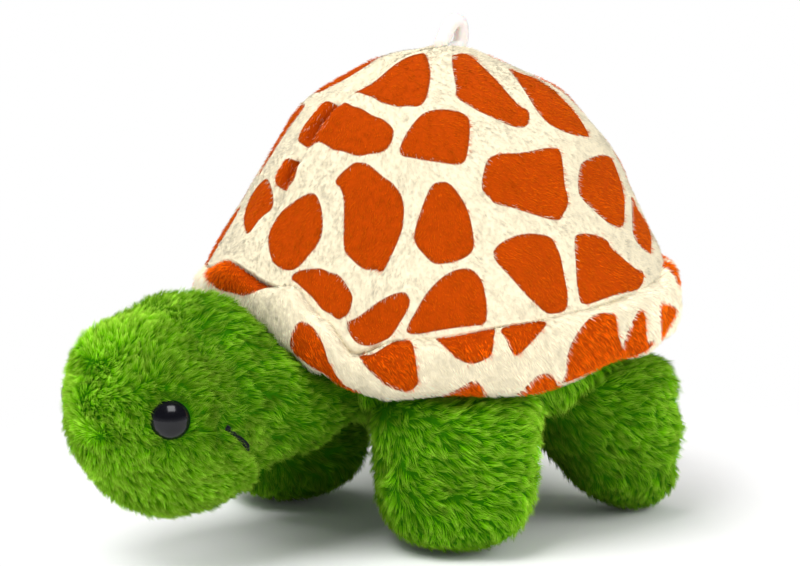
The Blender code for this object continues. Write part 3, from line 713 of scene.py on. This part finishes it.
# Shell brim: the same printed cloth rolled round its own thin core of filling and sewn on under the
# dome, so it stands out as a soft hem. It hangs lower at the corners beside the neck, and it follows the
# dome's slump forward.
BRIM_REACH = 0.0514
BRIM_INNER_RADIUS = 0.0425
BRIM_FOOT = 0.0345
BRIM_BACKING_DEPTH = 0.0007
BRIM_FORWARD = 0.0020
BRIM_LUMPS = 0.0008
BRIM_CLEARANCE = 0.0003
BRIM_SHOWN_RADIUS = 0.0440
BRIM_FOOT_SHARES = (
    (-180, 1.10), (-140, 1.10), (-105, 1.06), (-75, 1.0), (-50, 1.02), (-32, 1.24), (-14, 1.36),
    (0, 1.32), (6, 1.28), (13, 1.19), (20, 1.07), (28, 0.99), (38, 0.965), (70, 0.99), (105, 1.09),
    (140, 1.10),
)

# Section of the brim from the crease down its outer face and up inside: share outwards, share upwards
BRIM_SHARES = (
    (0.42, 1.06), (0.66, 1.04), (0.84, 0.96), (0.95, 0.80), (1.0, 0.58), (0.98, 0.32), (0.86, 0.11),
    (0.62, 0.0), (0.34, 0.02), (0.10, 0.17), (0.0, 0.42), (0.0, 0.80), (0.14, 1.0), (0.42, 1.06),
)
BRIM_PATCHES = (
    "-77,-129 -36,-146 -10,-150 7,-150 22,-148 19,-151 8,-157 -11,-163 -39,-161",
    "48,-158 52,-151 59,-149 65,-150 69,-152 84,-148 96,-153 84,-154 70,-164 56,-168 47,-174",
    "-30,-171 -9,-169 6,-169 18,-173 29,-174 -8,-174",
    "77,-131 89,-128 104,-112 119,-119 121,-123 117,-130 109,-134 102,-135 89,-134",
    "115,-98 134,-71 140,-74 144,-78 143,-83 140,-89 133,-95 124,-98",
    "136,-129 144,-97 150,-90 160,-92 155,-105 146,-121",
    "139,-66 146,-46 150,-39 152,-44 154,-62 151,-66 145,-67",
    "175,-69 168,-55 171,-44 175,-40 189,-32",
    "166,-28 161,-20 157,-5 157,8 159,15 164,17 172,24 185,33 182,-27 174,-31",
    "174,24 158,36 158,44 168,50 166,62 174,54 182,38",
    "146,68 130,107 133,111 158,79 155,66",
    "-147,124 -95,167 -88,155 -128,118 -133,117",
    "-164,-99 -178,-72 -162,-57 -153,-65 -150,-95",
    "4,192 62,182 52,167 8,175 4,178",
    "-146,-10 -137,-51 -148,-54 -159,-43 -161,-24",
    "-80,122 -104,103 -117,114 -89,140",
    "85,118 57,134 65,148 93,131",
    "-169,50 -186,47 -159,108 -145,103 -155,67",
    "-109,-139 -118,-151 -153,-116 -139,-110 -125,-117",
    "43,139 13,145 12,164 51,157",
    "-72,164 -77,176 -16,191 -15,179 -44,166",
    "-104,-103 -90,-115 -102,-131 -114,-115",
    "-149,5 -167,-9 -191,21 -190,27 -171,32",
    "-2,146 -31,143 -34,159 -8,170 -5,168",
    "-114,92 -131,64 -143,70 -133,103 -131,103",
    "-137,50 -145,19 -161,42 -150,55",
    "-45,139 -67,130 -75,151 -74,152 -50,155",
    "-131,-64 -114,-92 -126,-104 -137,-98 -141,-68",
    "67,158 80,174 96,159 101,148 102,137",
    "-170,-42 -185,-53 -192,-3 -172,-24",
    "107,100 97,109 107,124 110,124 118,110",
)

brim_turns = np.arange(0, 360, 1.0)
brim_places = np.linspace(0, 1, 64, endpoint=False)
brim_section = smooth_rows(BRIM_SHARES, brim_places)
turn_grid = np.tile(brim_turns, (len(brim_places), 1))
out_share = np.broadcast_to(brim_section[:, :1], turn_grid.shape)
up_share = np.broadcast_to(brim_section[:, 1:], turn_grid.shape)
foot = BRIM_FOOT * eased(BRIM_FOOT_SHARES, turn_grid)
crease = CREASE_HEIGHT * eased(CREASE_SHARES, turn_grid) - BRIM_CLEARANCE
middle_out = BRIM_INNER_RADIUS + (BRIM_REACH - BRIM_INNER_RADIUS) / 2
brim_radius = BRIM_INNER_RADIUS + (BRIM_REACH - BRIM_INNER_RADIUS) * out_share
brim_height = foot + (crease - foot) * up_share
brim_points = round_shell(turn_grid, brim_radius, brim_height)
brim_middle = round_shell(turn_grid, np.full(turn_grid.shape, middle_out), (foot + crease) / 2)
outward = unit(brim_points - brim_middle)
brim_points = brim_points - (0, BRIM_FORWARD, 0)
lumps = BRIM_LUMPS * swell(brim_points * (1, 1, 0.5), 0.013, 61)
brim_points = brim_points + outward * (lumps - BRIM_BACKING_DEPTH)[..., None]
step = np.linalg.norm(np.diff(np.concatenate([brim_points, brim_points[:1]]), axis=0), axis=-1)
brim_run = np.concatenate([np.zeros((1, len(brim_turns))), np.cumsum(step, axis=0)[:-1]]) * 1000
print_run = BRIM_PRINT_START + brim_run
turned = np.radians(turn_grid)
cloth = np.stack([print_run * np.sin(turned), -print_run * np.cos(turned), np.zeros(turn_grid.shape)], -1)


def closed_ring(name, rows, marks, cloth_places):
    """A closed roll: rows that join up the other way too."""
    steps, around = rows.shape[:2]
    index = np.arange(steps * around).reshape(steps, around)
    right, up = np.roll(index, -1, axis=1), np.roll(index, -1, axis=0)
    corner = np.roll(up, -1, axis=1)
    faces = np.stack([index, right, corner, up], -1).reshape(-1, 4)
    return skin_object(name, rows.reshape(-1, 3), faces.tolist(), marks, cloth_places)


shell_hem = closed_ring("shell_hem", brim_points, printed(cloth[..., :2], BRIM_PATCHES), cloth)
shell_hem.data.materials.append(printed_backing)
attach(shell_hem, "torso")
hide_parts("shell_brim")


def on_show(roots):
    """The outer face, the lower edge and what turns in under it."""
    return np.hypot(roots[:, 0], roots[:, 1] - SHELL_Y + BRIM_FORWARD) > BRIM_SHOWN_RADIUS


# The hem's pile is drawn paler than the dome's, painted light on a face that turns down and out
hem_pile = grow_pile(
    "shell_hem_pile", shell_hem, 67000, 62, lambda p: np.full(len(p), 0.0014), 0.00016,
    shell_lay, 0.40, unrest=0.45, keep=on_show, pattern=ragged_print(BRIM_PATCHES),
    shade=lambda roots, places: 1.27 + 0.04 * swell(roots, 0.006, 42),
)
hem_pile.data.materials.append(printed_pile)
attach(hem_pile, "torso")


# Body: a flattened tub of green pile under the shell, loosely filled. Only its sides, its chest and its
# belly between the legs show.
BODY_CENTRE = np.array((0, SHELL_Y, 0.0365))
BODY_HALF_WIDTH = 0.0405
BODY_HALF_LENGTH = 0.0408
BODY_RISE = 0.0077
BODY_DROP = 0.0170
BODY_SQUARENESS = 2.3
GREEN_BACKING_DEPTH = 0.0016
GREEN_SWELL = 0.0006
# Green pile from root to tip; the darker root is painted shade of the pile on itself
GREEN_STOPS = ("#367E00", "#6CB408", "#B2DE48")
# The green backing is darker than the pile's roots: painted shade deep in the pile
green_backing = cloth_backing("knitted_polyester_green", "#2A6A00", "#2A6A00", "#2A6A00")
green_pile = pile_fibre("green_acrylic_pile", GREEN_STOPS)


def unit_directions(rows, around, forward=False):
    """Directions in rings from one pole to the other, about the upright axis or the nose's."""
    polar = np.linspace(0, math.pi, rows + 2)[1:-1]
    turn = np.linspace(0, 2 * math.pi, around, endpoint=False)
    polar, turn = np.meshgrid(polar, turn, indexing="ij")
    x, y, z = np.sin(polar) * np.cos(turn), np.sin(polar) * np.sin(turn), np.cos(polar)
    return np.stack([x, -z, y], -1) if forward else np.stack([x, y, z], -1)


def body_reach(d):
    height = np.where(d[..., 2] > 0, BODY_RISE, BODY_DROP)
    shares = np.stack([d[..., 0] / BODY_HALF_WIDTH, d[..., 1] / BODY_HALF_LENGTH, d[..., 2] / height], -1)
    return np.sum(np.abs(shares) ** BODY_SQUARENESS, -1) ** (-1 / BODY_SQUARENESS)


def moves_with(obj, body):
    """Ride on one body, or, when given two bodies and two places, stay put with its transform baked in."""
    if isinstance(body, str):
        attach(obj, body)
    else:
        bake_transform(obj)


def dressed(obj, body, nodes):
    """Give a green skin its backing and body, and hide the parts that it stands in for."""
    obj.data.materials.append(green_backing)
    moves_with(obj, body)
    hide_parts(*nodes)


def pile_worn(obj, body):
    """Give a pile its fibre, and pass its body on to moves_with."""
    obj.data.materials.append(green_pile)
    moves_with(obj, body)


ways = unit_directions(40, 96)
reach = body_reach(ways) - GREEN_BACKING_DEPTH + GREEN_SWELL * swell(ways * 0.04, 0.014, 71)
body_top = BODY_CENTRE + (0, 0, BODY_RISE - GREEN_BACKING_DEPTH)
body_belly = BODY_CENTRE - (0, 0, BODY_DROP - GREEN_BACKING_DEPTH)
body_skin = closed_form("body_skin", BODY_CENTRE + ways * reach[..., None], body_top, body_belly)
dressed(body_skin, "torso", ("body_cover", "body_stuffing"))


# Legs: four short stumps, each a tube of green pile with a round sole, filled firmly and sewn to the body along
# the top. The cloth gives there.
LEG_HEIGHT = 0.0235
# Each leg's top: distance from the middle and place along the turtle, its radius, and how far its foot
# stands out and on from there
FRONT_LEG = (0.0266, 0.0016, 0.0176, 0.0008, -0.0004)
REAR_LEG = (0.0266, 0.0404, 0.0150, 0.0008, 0.0112)
REAR_THIGH = ((0.0, 0.82), (0.45, 0.92), (0.8, 1.20), (1.1, 1.22))
LEG_BEND_TOP = 0.0360
LEG_BEND_FOOT = 0.0210

# Outline of a leg from its sole up: share of its height, share of its radius, and millimetres towards the
# shell's axis
LEG_ROWS = (
    (0.03, 0.14, 0), (0.055, 0.40, 0), (0.11, 0.64, 0), (0.20, 0.83, 0), (0.33, 0.95, 0), (0.52, 1.0, 0),
    (0.78, 1.02, 0), (1.0, 1.05, 0.5), (1.2, 1.07, 1.5), (1.36, 1.0, 3.0), (1.46, 0.70, 5.0),
)


def leg_skin(name, side, place):
    """One leg's skin, from the flat of its sole to the seam under the brim."""
    x, y, radius, foot_out, foot_on = place
    heights, shares, inward = smooth_rows(LEG_ROWS, np.linspace(0, 1, 46)).T
    if place is REAR_LEG:
        shares = shares * np.interp(heights, *zip(*REAR_THIGH))
    turn = np.linspace(0, 2 * math.pi, 72, endpoint=False)
    towards = unit(np.array([-side * x, SHELL_Y - y]))
    foot = np.clip(1 - heights, 0, 1)
    centre_x = side * x + side * foot_out * foot + towards[0] * inward * MM
    centre_y = y + foot_on * foot + towards[1] * inward * MM
    wide = np.maximum(radius * shares - GREEN_BACKING_DEPTH * np.clip(heights * 8, 0.3, 1), 0.001)
    rows = np.stack([
        centre_x[:, None] + wide[:, None] * np.cos(turn), centre_y[:, None] + wide[:, None] * np.sin(turn),
        np.broadcast_to((LEG_HEIGHT * heights + 0.0003)[:, None], (len(heights), len(turn))),
    ], -1)
    out = rows - np.stack([centre_x, centre_y, LEG_HEIGHT * heights], -1)[:, None]
    grip = np.clip(heights * 5, 0, 1)[:, None]
    rows = rows + unit(out) * (GREEN_SWELL * grip * swell(rows, 0.012, 81 + len(name)))[..., None]
    sole = (centre_x[0], centre_y[0], rows[0, 0, 2])
    top = (centre_x[-1], centre_y[-1], LEG_HEIGHT * 1.5)
    return closed_form(name, rows, sole, top)


leg_skins = {}
for end, place in (("front", FRONT_LEG), ("rear", REAR_LEG)):
    for side_name, side in (("left", 1), ("right", -1)):
        leg = f"leg_{end}_{side_name}"
        made = leg_skin(f"{leg}_skin", side, place)
        hinge = (side * place[0], place[1])
        bend = ("torso", leg, (*hinge, LEG_BEND_TOP), (*hinge, LEG_BEND_FOOT))
        leg_skins[leg] = (made, bend, side, place)

# Neck: a short tube of green pile between the body and the head. It is slack, so it bunches up behind
# the head as high as the brim.
NECK_BEND_BACK = (0, -0.0300, 0.0310)
NECK_BEND_FRONT = (0, -0.0450, 0.0310)

# Sections of the neck: place along the turtle, height of its middle, half width, rise, drop
NECK_ROWS = (
    (-0.0060, 0.0310, 0.0120, 0.0090, 0.0065), (-0.0140, 0.0310, 0.0152, 0.0118, 0.0083),
    (-0.0225, 0.0310, 0.0170, 0.0130, 0.0120), (-0.0290, 0.0312, 0.0178, 0.0150, 0.0126),
    (-0.0340, 0.0313, 0.0184, 0.0182, 0.0130), (-0.0380, 0.0316, 0.0189, 0.0206, 0.0134),
    (-0.0420, 0.0317, 0.0194, 0.0222, 0.0140), (-0.0460, 0.0318, 0.0199, 0.0225, 0.0142),
    (-0.0530, 0.0318, 0.0190, 0.0202, 0.0138),
)
neck_sections = smooth_rows(NECK_ROWS, np.linspace(0, 1, 34)).T
along, middle, half_width, rise, drop = (v[:, None] for v in neck_sections)
turn = np.linspace(0, 2 * math.pi, 84, endpoint=False)[None]
height = np.where(np.sin(turn) > 0, rise, drop) * np.sin(turn)
rows = np.stack([half_width * np.cos(turn), np.broadcast_to(along, height.shape), middle + height], -1)
outward = unit(rows - np.stack([0 * along, along, middle], -1))
rows = rows + outward * (GREEN_SWELL * swell(rows, 0.012, 91))[..., None]
neck_skin = closed_form("neck_skin", rows, (0, NECK_ROWS[0][0], 0.0310), (0, NECK_ROWS[-1][0], 0.0318))

# Head: an egg of green pile stuffed hard, blunt at the nose, with the muzzle drawn in by the mouth's
# thread and the pile pressed down round the eyes.
HEAD_PIVOT = np.array((0, -0.0516, 0.0318))
HEAD_HALF_WIDTH = 0.0206
HEAD_BACK = 0.0208
HEAD_NOSE = 0.0212

# Middle outline of the head: degrees from the nose upwards, and distance from the pivot
HEAD_ROWS = (
    (-180, HEAD_BACK), (-160, 0.0222), (-138, 0.0238), (-112, 0.0234), (-92, 0.0226), (-42, 0.0206),
    (0, HEAD_NOSE), (48, 0.0221), (84, 0.0214), (106, 0.0230), (134, HEAD_BACK),
)
EYE_WIDTH = 0.0082
EYE_DOME = 0.0038
EYE_SINK = 0.0031
EYE_SIDE = math.radians(58)
EYE_RISE = math.radians(6)
EYE_DIMPLE = 0.0006
MOUTH_DEPTH = 0.0018
MOUTH_SHOULDER = 0.0011
MOUTH_SLOPE = math.radians(39)
MOUTH_HALF = math.radians(84)
MOUTH_CORNER = math.radians(4)
MOUTH_SHOWN = math.radians(61)
MOUTH_PLANE = np.array((0, math.sin(MOUTH_SLOPE), math.cos(MOUTH_SLOPE)))
MOUTH_BACK = np.array((0, math.cos(MOUTH_SLOPE), -math.sin(MOUTH_SLOPE)))


def head_reach(d):
    middle = eased(HEAD_ROWS, np.degrees(np.arctan2(d[..., 2], -d[..., 1])))
    flat = np.hypot(d[..., 1], d[..., 2])
    return ((d[..., 0] / HEAD_HALF_WIDTH) ** 2 + (flat / middle) ** 2) ** -0.5


def eye_place(side):
    """An eye's outward direction and the middle of its foot."""
    level = math.cos(EYE_RISE)
    out = np.array((side * math.sin(EYE_SIDE) * level, -math.cos(EYE_SIDE) * level, math.sin(EYE_RISE)))
    return out, HEAD_PIVOT + out * (head_reach(out) - EYE_SINK)


def beside_eyes(points):
    """Distance from the nearer eye's own axis."""
    gaps = []
    for side in (1, -1):
        out, foot = eye_place(side)
        away = points - foot
        behind = away @ out < -0.004
        gaps.append(np.linalg.norm(away - (away @ out)[..., None] * out, axis=-1) + 1.0 * behind)
    return np.minimum(*gaps)


def beside_mouth(points):
    """Distance from the mouth's plane, the share of the mouth's run, and where its thread shows."""
    away = points - HEAD_PIVOT
    turn = np.abs(np.arctan2(away[..., 0], away @ MOUTH_BACK))
    run = np.clip((MOUTH_HALF + MOUTH_CORNER - turn) / 0.15, 0, 1)
    return away @ MOUTH_PLANE, run, (turn > MOUTH_SHOWN) & (run > 0.1)


ways = unit_directions(72, 108, forward=True)
rows = HEAD_PIVOT + ways * head_reach(ways)[..., None]
from_mouth, run, _ = beside_mouth(rows)
relief = 0.0005 * swell(rows, 0.013, 101) - GREEN_BACKING_DEPTH
relief = relief - MOUTH_DEPTH * run * np.exp(-(from_mouth / 0.0014) ** 2)
relief = relief - EYE_DIMPLE * np.exp(-(beside_eyes(rows) / 0.0044) ** 2)
relief = relief + MOUTH_SHOULDER * run * np.exp(-((np.abs(from_mouth) - 0.0038) / 0.0020) ** 2)
rows = rows + ways * relief[..., None]
nose = HEAD_PIVOT + (0, -(HEAD_NOSE - GREEN_BACKING_DEPTH), 0)
head_skin = closed_form("head_skin", rows, nose, HEAD_PIVOT + (0, HEAD_BACK - GREEN_BACKING_DEPTH, 0))

# Green pile: longer than the shell's, 1 to 3 mm, tufted and swirling on the head, combed round the
# tops of the legs and down over the feet. It is grown once all the skins are there, so that no hair
# stands inside another skin.
skin_trees = {leg: surface_tree(parts[0]) for leg, parts in leg_skins.items()}
skin_trees.update(body=surface_tree(body_skin), neck=surface_tree(neck_skin), head=surface_tree(head_skin))
skin_trees.update(hem=surface_tree(shell_hem), dome=surface_tree(shell_dome))


def clear_of(*names):
    """Roots that aren't buried in the other skins named."""
    def keep(points):
        return ~buried(points, [skin_trees[name] for name in names], 0.0010)
    return keep


def swirled(base, size, seed, strength):
    """A lay that wanders about a base direction in slow swirls."""
    def lay(points):
        drift = np.stack([swell(points, size, seed + k) for k in range(3)], -1)
        return base(points) + strength * drift
    return lay


def steady(*way):
    return lambda points: np.broadcast_to(np.array(way, float), points.shape)


def leg_lay(points):
    """Round the leg towards the back above, and down over the foot."""
    low = np.clip((0.0150 - points[:, 2]) / 0.0080, 0, 1)[:, None]
    return (1 - low) * np.array((0.3, 1.0, -0.35)) + low * np.array((0.1, 0.2, -1.0))


def painted_leg_shade(roots, side, place):
    """Painted shade on a leg's inner side, and on the front of a rear leg, where the legs and body shadow it.
    """
    inner = -side * (roots[:, 0] - side * place[0]) / place[2]
    if place is REAR_LEG:
        on = place[4] * np.clip(1 - roots[:, 2] / LEG_HEIGHT, 0, 1)
        inner = 0.6 * inner - 0.8 * (roots[:, 1] - place[1] - on) / place[2]
    return 1 - 0.52 * np.clip((inner - 0.05) / 0.55, 0, 1)


def mottled(size, seed, depth=0.12):
    return lambda roots, places: 1 + depth * swell(roots, size, seed)


for leg, (made, bend, side, place) in leg_skins.items():
    # Painted light and shade: the front legs' pile is drawn paler and the rear legs' darker
    tone = 0.94 if place is REAR_LEG else 1.12
    leg_pile = grow_pile(
        f"{leg}_pile", made, 34000, 110 + len(leg) + side,
        lambda p: 0.0018 + 0.0010 * np.clip(p[:, 2] / 0.012, 0, 1), 0.00013,
        swirled(leg_lay, 0.014, 121, 0.25), 0.34, unrest=0.9, keep=clear_of("body", "hem"),
        shade=lambda roots, places: (
            (tone + 0.12 * swell(roots, 0.007, 131)) * painted_leg_shade(roots, side, place)
        ),
    )
    dressed(made, bend, (f"{leg}_cover", f"{leg}_stuffing"))
    pile_worn(leg_pile, bend)

body_pile = grow_pile(
    "body_pile", body_skin, 46000, 141, lambda p: np.full(len(p), 0.0032), 0.00015,
    swirled(steady(0.2, 0.6, -0.8), 0.012, 151, 0.4), 0.45, unrest=0.8,
    keep=lambda p: (p[:, 2] < 0.0385) & clear_of(*leg_skins, "neck")(p), shade=mottled(0.007, 152),
)
pile_worn(body_pile, "torso")

neck_bend = ("neck", "head", NECK_BEND_BACK, NECK_BEND_FRONT)
# The neck's pile is drawn darker, painted shade under the head and the brim
neck_pile = grow_pile(
    "neck_pile", neck_skin, 42000, 161, lambda p: np.full(len(p), 0.0023), 0.00014,
    swirled(steady(0, 0.9, -0.4), 0.010, 171, 0.4), 0.50, unrest=0.9,
    keep=clear_of("head", "body", "hem"), shade=lambda roots, places: 0.70 + 0.12 * swell(roots, 0.007, 172),
)
dressed(neck_skin, neck_bend, ("neck_cover", "neck_stuffing"))
pile_worn(neck_pile, neck_bend)


def head_hair_length(points):
    near_eye = np.clip((beside_eyes(points) - 0.0035) / 0.0040, 0, 1)
    return 0.0013 + 0.0008 * near_eye


def bare_spots(points):
    """Roots clear of the eyes, the mouth's thread and the neck."""
    from_mouth, _, shown = beside_mouth(points)
    off_mouth = (np.abs(from_mouth) > 0.0009) | ~shown
    return (beside_eyes(points) > 0.0037) & off_mouth & clear_of("neck")(points)


def head_shade(roots, places):
    """Paler over the nose and muzzle as painted light, and deeper on the temple and cheek as painted shade."""
    way = unit(roots - HEAD_PIVOT)
    painted_light_front = np.clip(way @ unit(np.array((-0.5, -0.8, 0.35))), -0.8, 1)
    muzzle = np.clip((way @ unit(np.array((0.45, -0.70, -0.55))) - 0.6) / 0.4, 0, 1)
    temple = np.clip((way @ unit(np.array((0.87, -0.14, 0.47))) - 0.55) / 0.35, 0, 1)
    return (1.06 + 0.18 * painted_light_front + 0.30 * muzzle - 0.42 * temple) * (1 + 0.10 * swell(roots, 0.006, 192))


for part, seed in (("a", 181), ("b", 182)):
    head_pile = grow_pile(
        f"head_pile_{part}", head_skin, 49000, seed, head_hair_length, 0.00013,
        swirled(steady(0, 0.9, -0.25), 0.009, 191, 0.5), 0.55, unrest=1.0, keep=bare_spots, shade=head_shade,
    )
    pile_worn(head_pile, "head")
dressed(head_skin, "head", ("head_cover", "head_stuffing"))


# Eyes: black moulded domes with a ribbed shank, pushed through the pelt from outside and locked by a
# washer behind it. The mould leaves them glossy all over.
SHANK_WIDTH = 0.0030
SHANK_LENGTH = 0.0085


def speckled(tree, grain, detail, low_hex, high_hex):
    """Fine noise with a grain in millimetres, and a colour that varies with it between two."""
    where = node(tree, "ShaderNodeTexCoord")
    noise = node(tree, "ShaderNodeTexNoise", None, {
        "Vector": where.outputs["Object"], "Scale": 1 / (grain * MM), "Detail": detail,
    })
    tint = node(tree, "ShaderNodeMix", {"data_type": "RGBA"}, {
        "Factor": noise.outputs["Fac"], "A": linear(low_hex), "B": linear(high_hex),
    })
    return noise.outputs["Fac"], tint.outputs["Result"]


def faint_bumps(tree, noise, strength):
    """Bumps a tenth of a millimetre high from a noise."""
    bump = node(tree, "ShaderNodeBump", None, {"Height": noise, "Strength": strength, "Distance": 0.1 * MM})
    return bump.outputs[0]


gloss, tree = empty_material("moulded_black_acrylic")
ripple, tint = speckled(tree, 2.5, 1, "#0A0A0E", "#121218")
surface(tree, {"Base Color": tint, "Roughness": 0.17, "IOR": 1.36, "Normal": faint_bumps(tree, ripple, 0.05)})


def face_down(obj, down_to):
    """Select only the lowest flat face of the mesh in edit mode."""
    shape = bmesh.from_edit_mesh(obj.data)
    for face in shape.faces:
        face.select_set(face.normal.z < -0.9 and face.calc_center_median().z < down_to)
    bmesh.update_edit_mesh(obj.data)


for side_name, side in (("left", 1), ("right", -1)):
    bpy.ops.object.select_all(action="DESELECT")
    bpy.ops.mesh.primitive_uv_sphere_add(segments=48, ring_count=24, radius=EYE_WIDTH / 2)
    eye = bpy.context.active_object
    eye.name = f"moulded_eye_{side_name}"
    bpy.ops.object.mode_set(mode="EDIT")
    bpy.ops.mesh.select_all(action="SELECT")
    bpy.ops.transform.resize(value=(1, 1, 2 * EYE_DOME / EYE_WIDTH))
    bpy.ops.mesh.bisect(plane_co=(0, 0, -0.0004), plane_no=(0, 0, 1), use_fill=True, clear_inner=True)
    face_down(eye, -0.0003)
    bpy.ops.mesh.inset(thickness=(EYE_WIDTH - SHANK_WIDTH) / 2)
    for step, grow in enumerate((0.85, 1.17, 0.85, 1.17, 0.85)):
        bpy.ops.mesh.extrude_region_move(TRANSFORM_OT_translate={"value": (0, 0, -SHANK_LENGTH / 5)})
        bpy.ops.transform.resize(value=(grow, grow, 1))
    bpy.ops.object.mode_set(mode="OBJECT")
    eye.modifiers.new("moulded edges", "BEVEL").width = 0.00015
    bpy.ops.object.modifier_apply(modifier="moulded edges")
    bpy.ops.object.shade_smooth_by_angle(angle=math.radians(50))
    out, foot = eye_place(side)
    eye.matrix_world = Matrix.Translation(foot) @ Vector(out).to_track_quat("Z", "Y").to_matrix().to_4x4()
    bpy.ops.object.transform_apply(location=True, rotation=True, scale=True)
    eye.data.materials.append(gloss)
    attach(eye, "head")
    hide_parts(f"eye_{side_name}")

# Washers behind the pelt: natural polypropylene, left as moulded, so they're waxy and not quite white.
washer_plastic, tree = empty_material("moulded_polypropylene_natural")
_, tint = speckled(tree, 0.5, 2, "#DAD7CC", "#E6E3DA")
surface(tree, {"Base Color": tint, "Roughness": 0.5})
for side_name in ("left", "right"):
    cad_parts[f"eye_washer_{side_name}"].data.materials[0] = washer_plastic

# Mouth: thick navy thread of two twisted plies, pulled tight round the back of the muzzle. It is matt, so
# the twist shows in its outline more than in its shine.
PLY_WIDTH = 0.00068
PLY_TWIST = 0.0016
THREAD_DEPTH = 0.0007
thread_finish, tree = empty_material("twisted_polyester_thread")
_, tint = speckled(tree, 0.15, 2, "#05070A", "#12181F")
surface(tree, {"Base Color": tint, "Roughness": 0.8, "Specular IOR Level": 0.2})
plies = bpy.data.curves.new("mouth_stitch", "CURVE")
plies.dimensions = "3D"
plies.bevel_depth = PLY_WIDTH / 2
plies.bevel_resolution = 2
plies.use_fill_caps = True
turn = np.linspace(-MOUTH_HALF - MOUTH_CORNER, MOUTH_HALF + MOUTH_CORNER, 400)
ways = np.sin(turn)[:, None] * np.array((1, 0, 0)) + np.cos(turn)[:, None] * MOUTH_BACK
sunk = THREAD_DEPTH + 0.0016 * np.clip((MOUTH_SHOWN + 0.1 - np.abs(turn)) / 0.2, 0, 1)
core = HEAD_PIVOT + ways * (head_reach(ways) - sunk)[:, None]
run = np.concatenate([[0], np.cumsum(np.linalg.norm(np.diff(core, axis=0), axis=1))])
for start in (0, math.pi):
    phase = 2 * math.pi * run / PLY_TWIST + start
    offset = ways * np.cos(phase)[:, None] + MOUTH_PLANE * np.sin(phase)[:, None]
    spline = plies.splines.new("POLY")
    spline.points.add(len(core) - 1)
    path = core + offset * PLY_WIDTH * 0.42
    spline.points.foreach_set("co", np.hstack([path, np.ones((len(path), 1))]).ravel())
bpy.ops.object.select_all(action="DESELECT")
stitch = bpy.data.objects.new("mouth_stitch", plies)
bpy.context.scene.collection.objects.link(stitch)
bpy.context.view_layer.objects.active = stitch
stitch.select_set(True)
bpy.ops.object.convert(target="MESH")
stitch = bpy.context.active_object
stitch.data.materials.append(thread_finish)
stitch.data.shade_smooth()
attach(stitch, "head")
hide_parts("mouth_thread")


# Hanging loop: a short strap of milky soft plastic, folded and caught in the shell's top seam, so that it
# tips on its foot. It is drawn as a closed round ring in the shape of a teardrop.
LOOP_FOOT = (0, SHELL_Y + SHELL_TOP_BACK, 0.0974)
LOOP_RISE = 0.0059
LOOP_HALF_WIDTH = 0.0034
STRAP_RADIUS = 0.0016
strap_finish, tree = empty_material("soft_pvc_milky")
cloud, tint = speckled(tree, 1.5, 2, "#EAE4E0", "#F3EFEC")
surface(tree, {
    "Base Color": tint, "Roughness": 0.35, "Normal": faint_bumps(tree, cloud, 0.2),
    "Subsurface Weight": 0.4, "Subsurface Scale": 1.5 * MM, "Coat Weight": 0.2,
})
bpy.ops.object.select_all(action="DESELECT")
bpy.ops.curve.primitive_bezier_circle_add(radius=1)
strap = bpy.context.active_object
strap.name = "hanging_strap"
teardrop = (
    ((0.0, 0.0), (0.7, 0.0)), ((-0.80, 0.34), (-0.28, -0.16)),
    ((0.30, 0.98), (-0.42, 0.02)), ((0.86, 0.55), (0.02, 0.32)),
)
for point, (place, pull) in zip(strap.data.splines[0].bezier_points, teardrop):
    point.handle_left_type = point.handle_right_type = "FREE"
    spot = Vector((0, place[0] * LOOP_HALF_WIDTH, place[1] * LOOP_RISE))
    stretch = Vector((0, pull[0] * LOOP_HALF_WIDTH, pull[1] * LOOP_RISE))
    point.co, point.handle_left, point.handle_right = spot, spot + stretch, spot - stretch
strap.data.bevel_depth = STRAP_RADIUS
strap.data.bevel_resolution = 6
strap.data.resolution_u = 16
bpy.ops.object.convert(target="MESH")
strap = bpy.context.active_object
bpy.ops.object.mode_set(mode="EDIT")
bpy.ops.mesh.select_all(action="SELECT")
bpy.ops.transform.resize(value=(1.0, 0.94, 1.0))
bpy.ops.mesh.remove_doubles(threshold=0.00001)
bpy.ops.mesh.normals_make_consistent(inside=False)
bpy.ops.object.mode_set(mode="OBJECT")
strap.location = LOOP_FOOT
bpy.ops.object.transform_apply(location=True, rotation=True, scale=True)
bpy.ops.object.shade_smooth()
strap.data.materials.append(strap_finish)
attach(strap, "loop")
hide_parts("hang_loop")
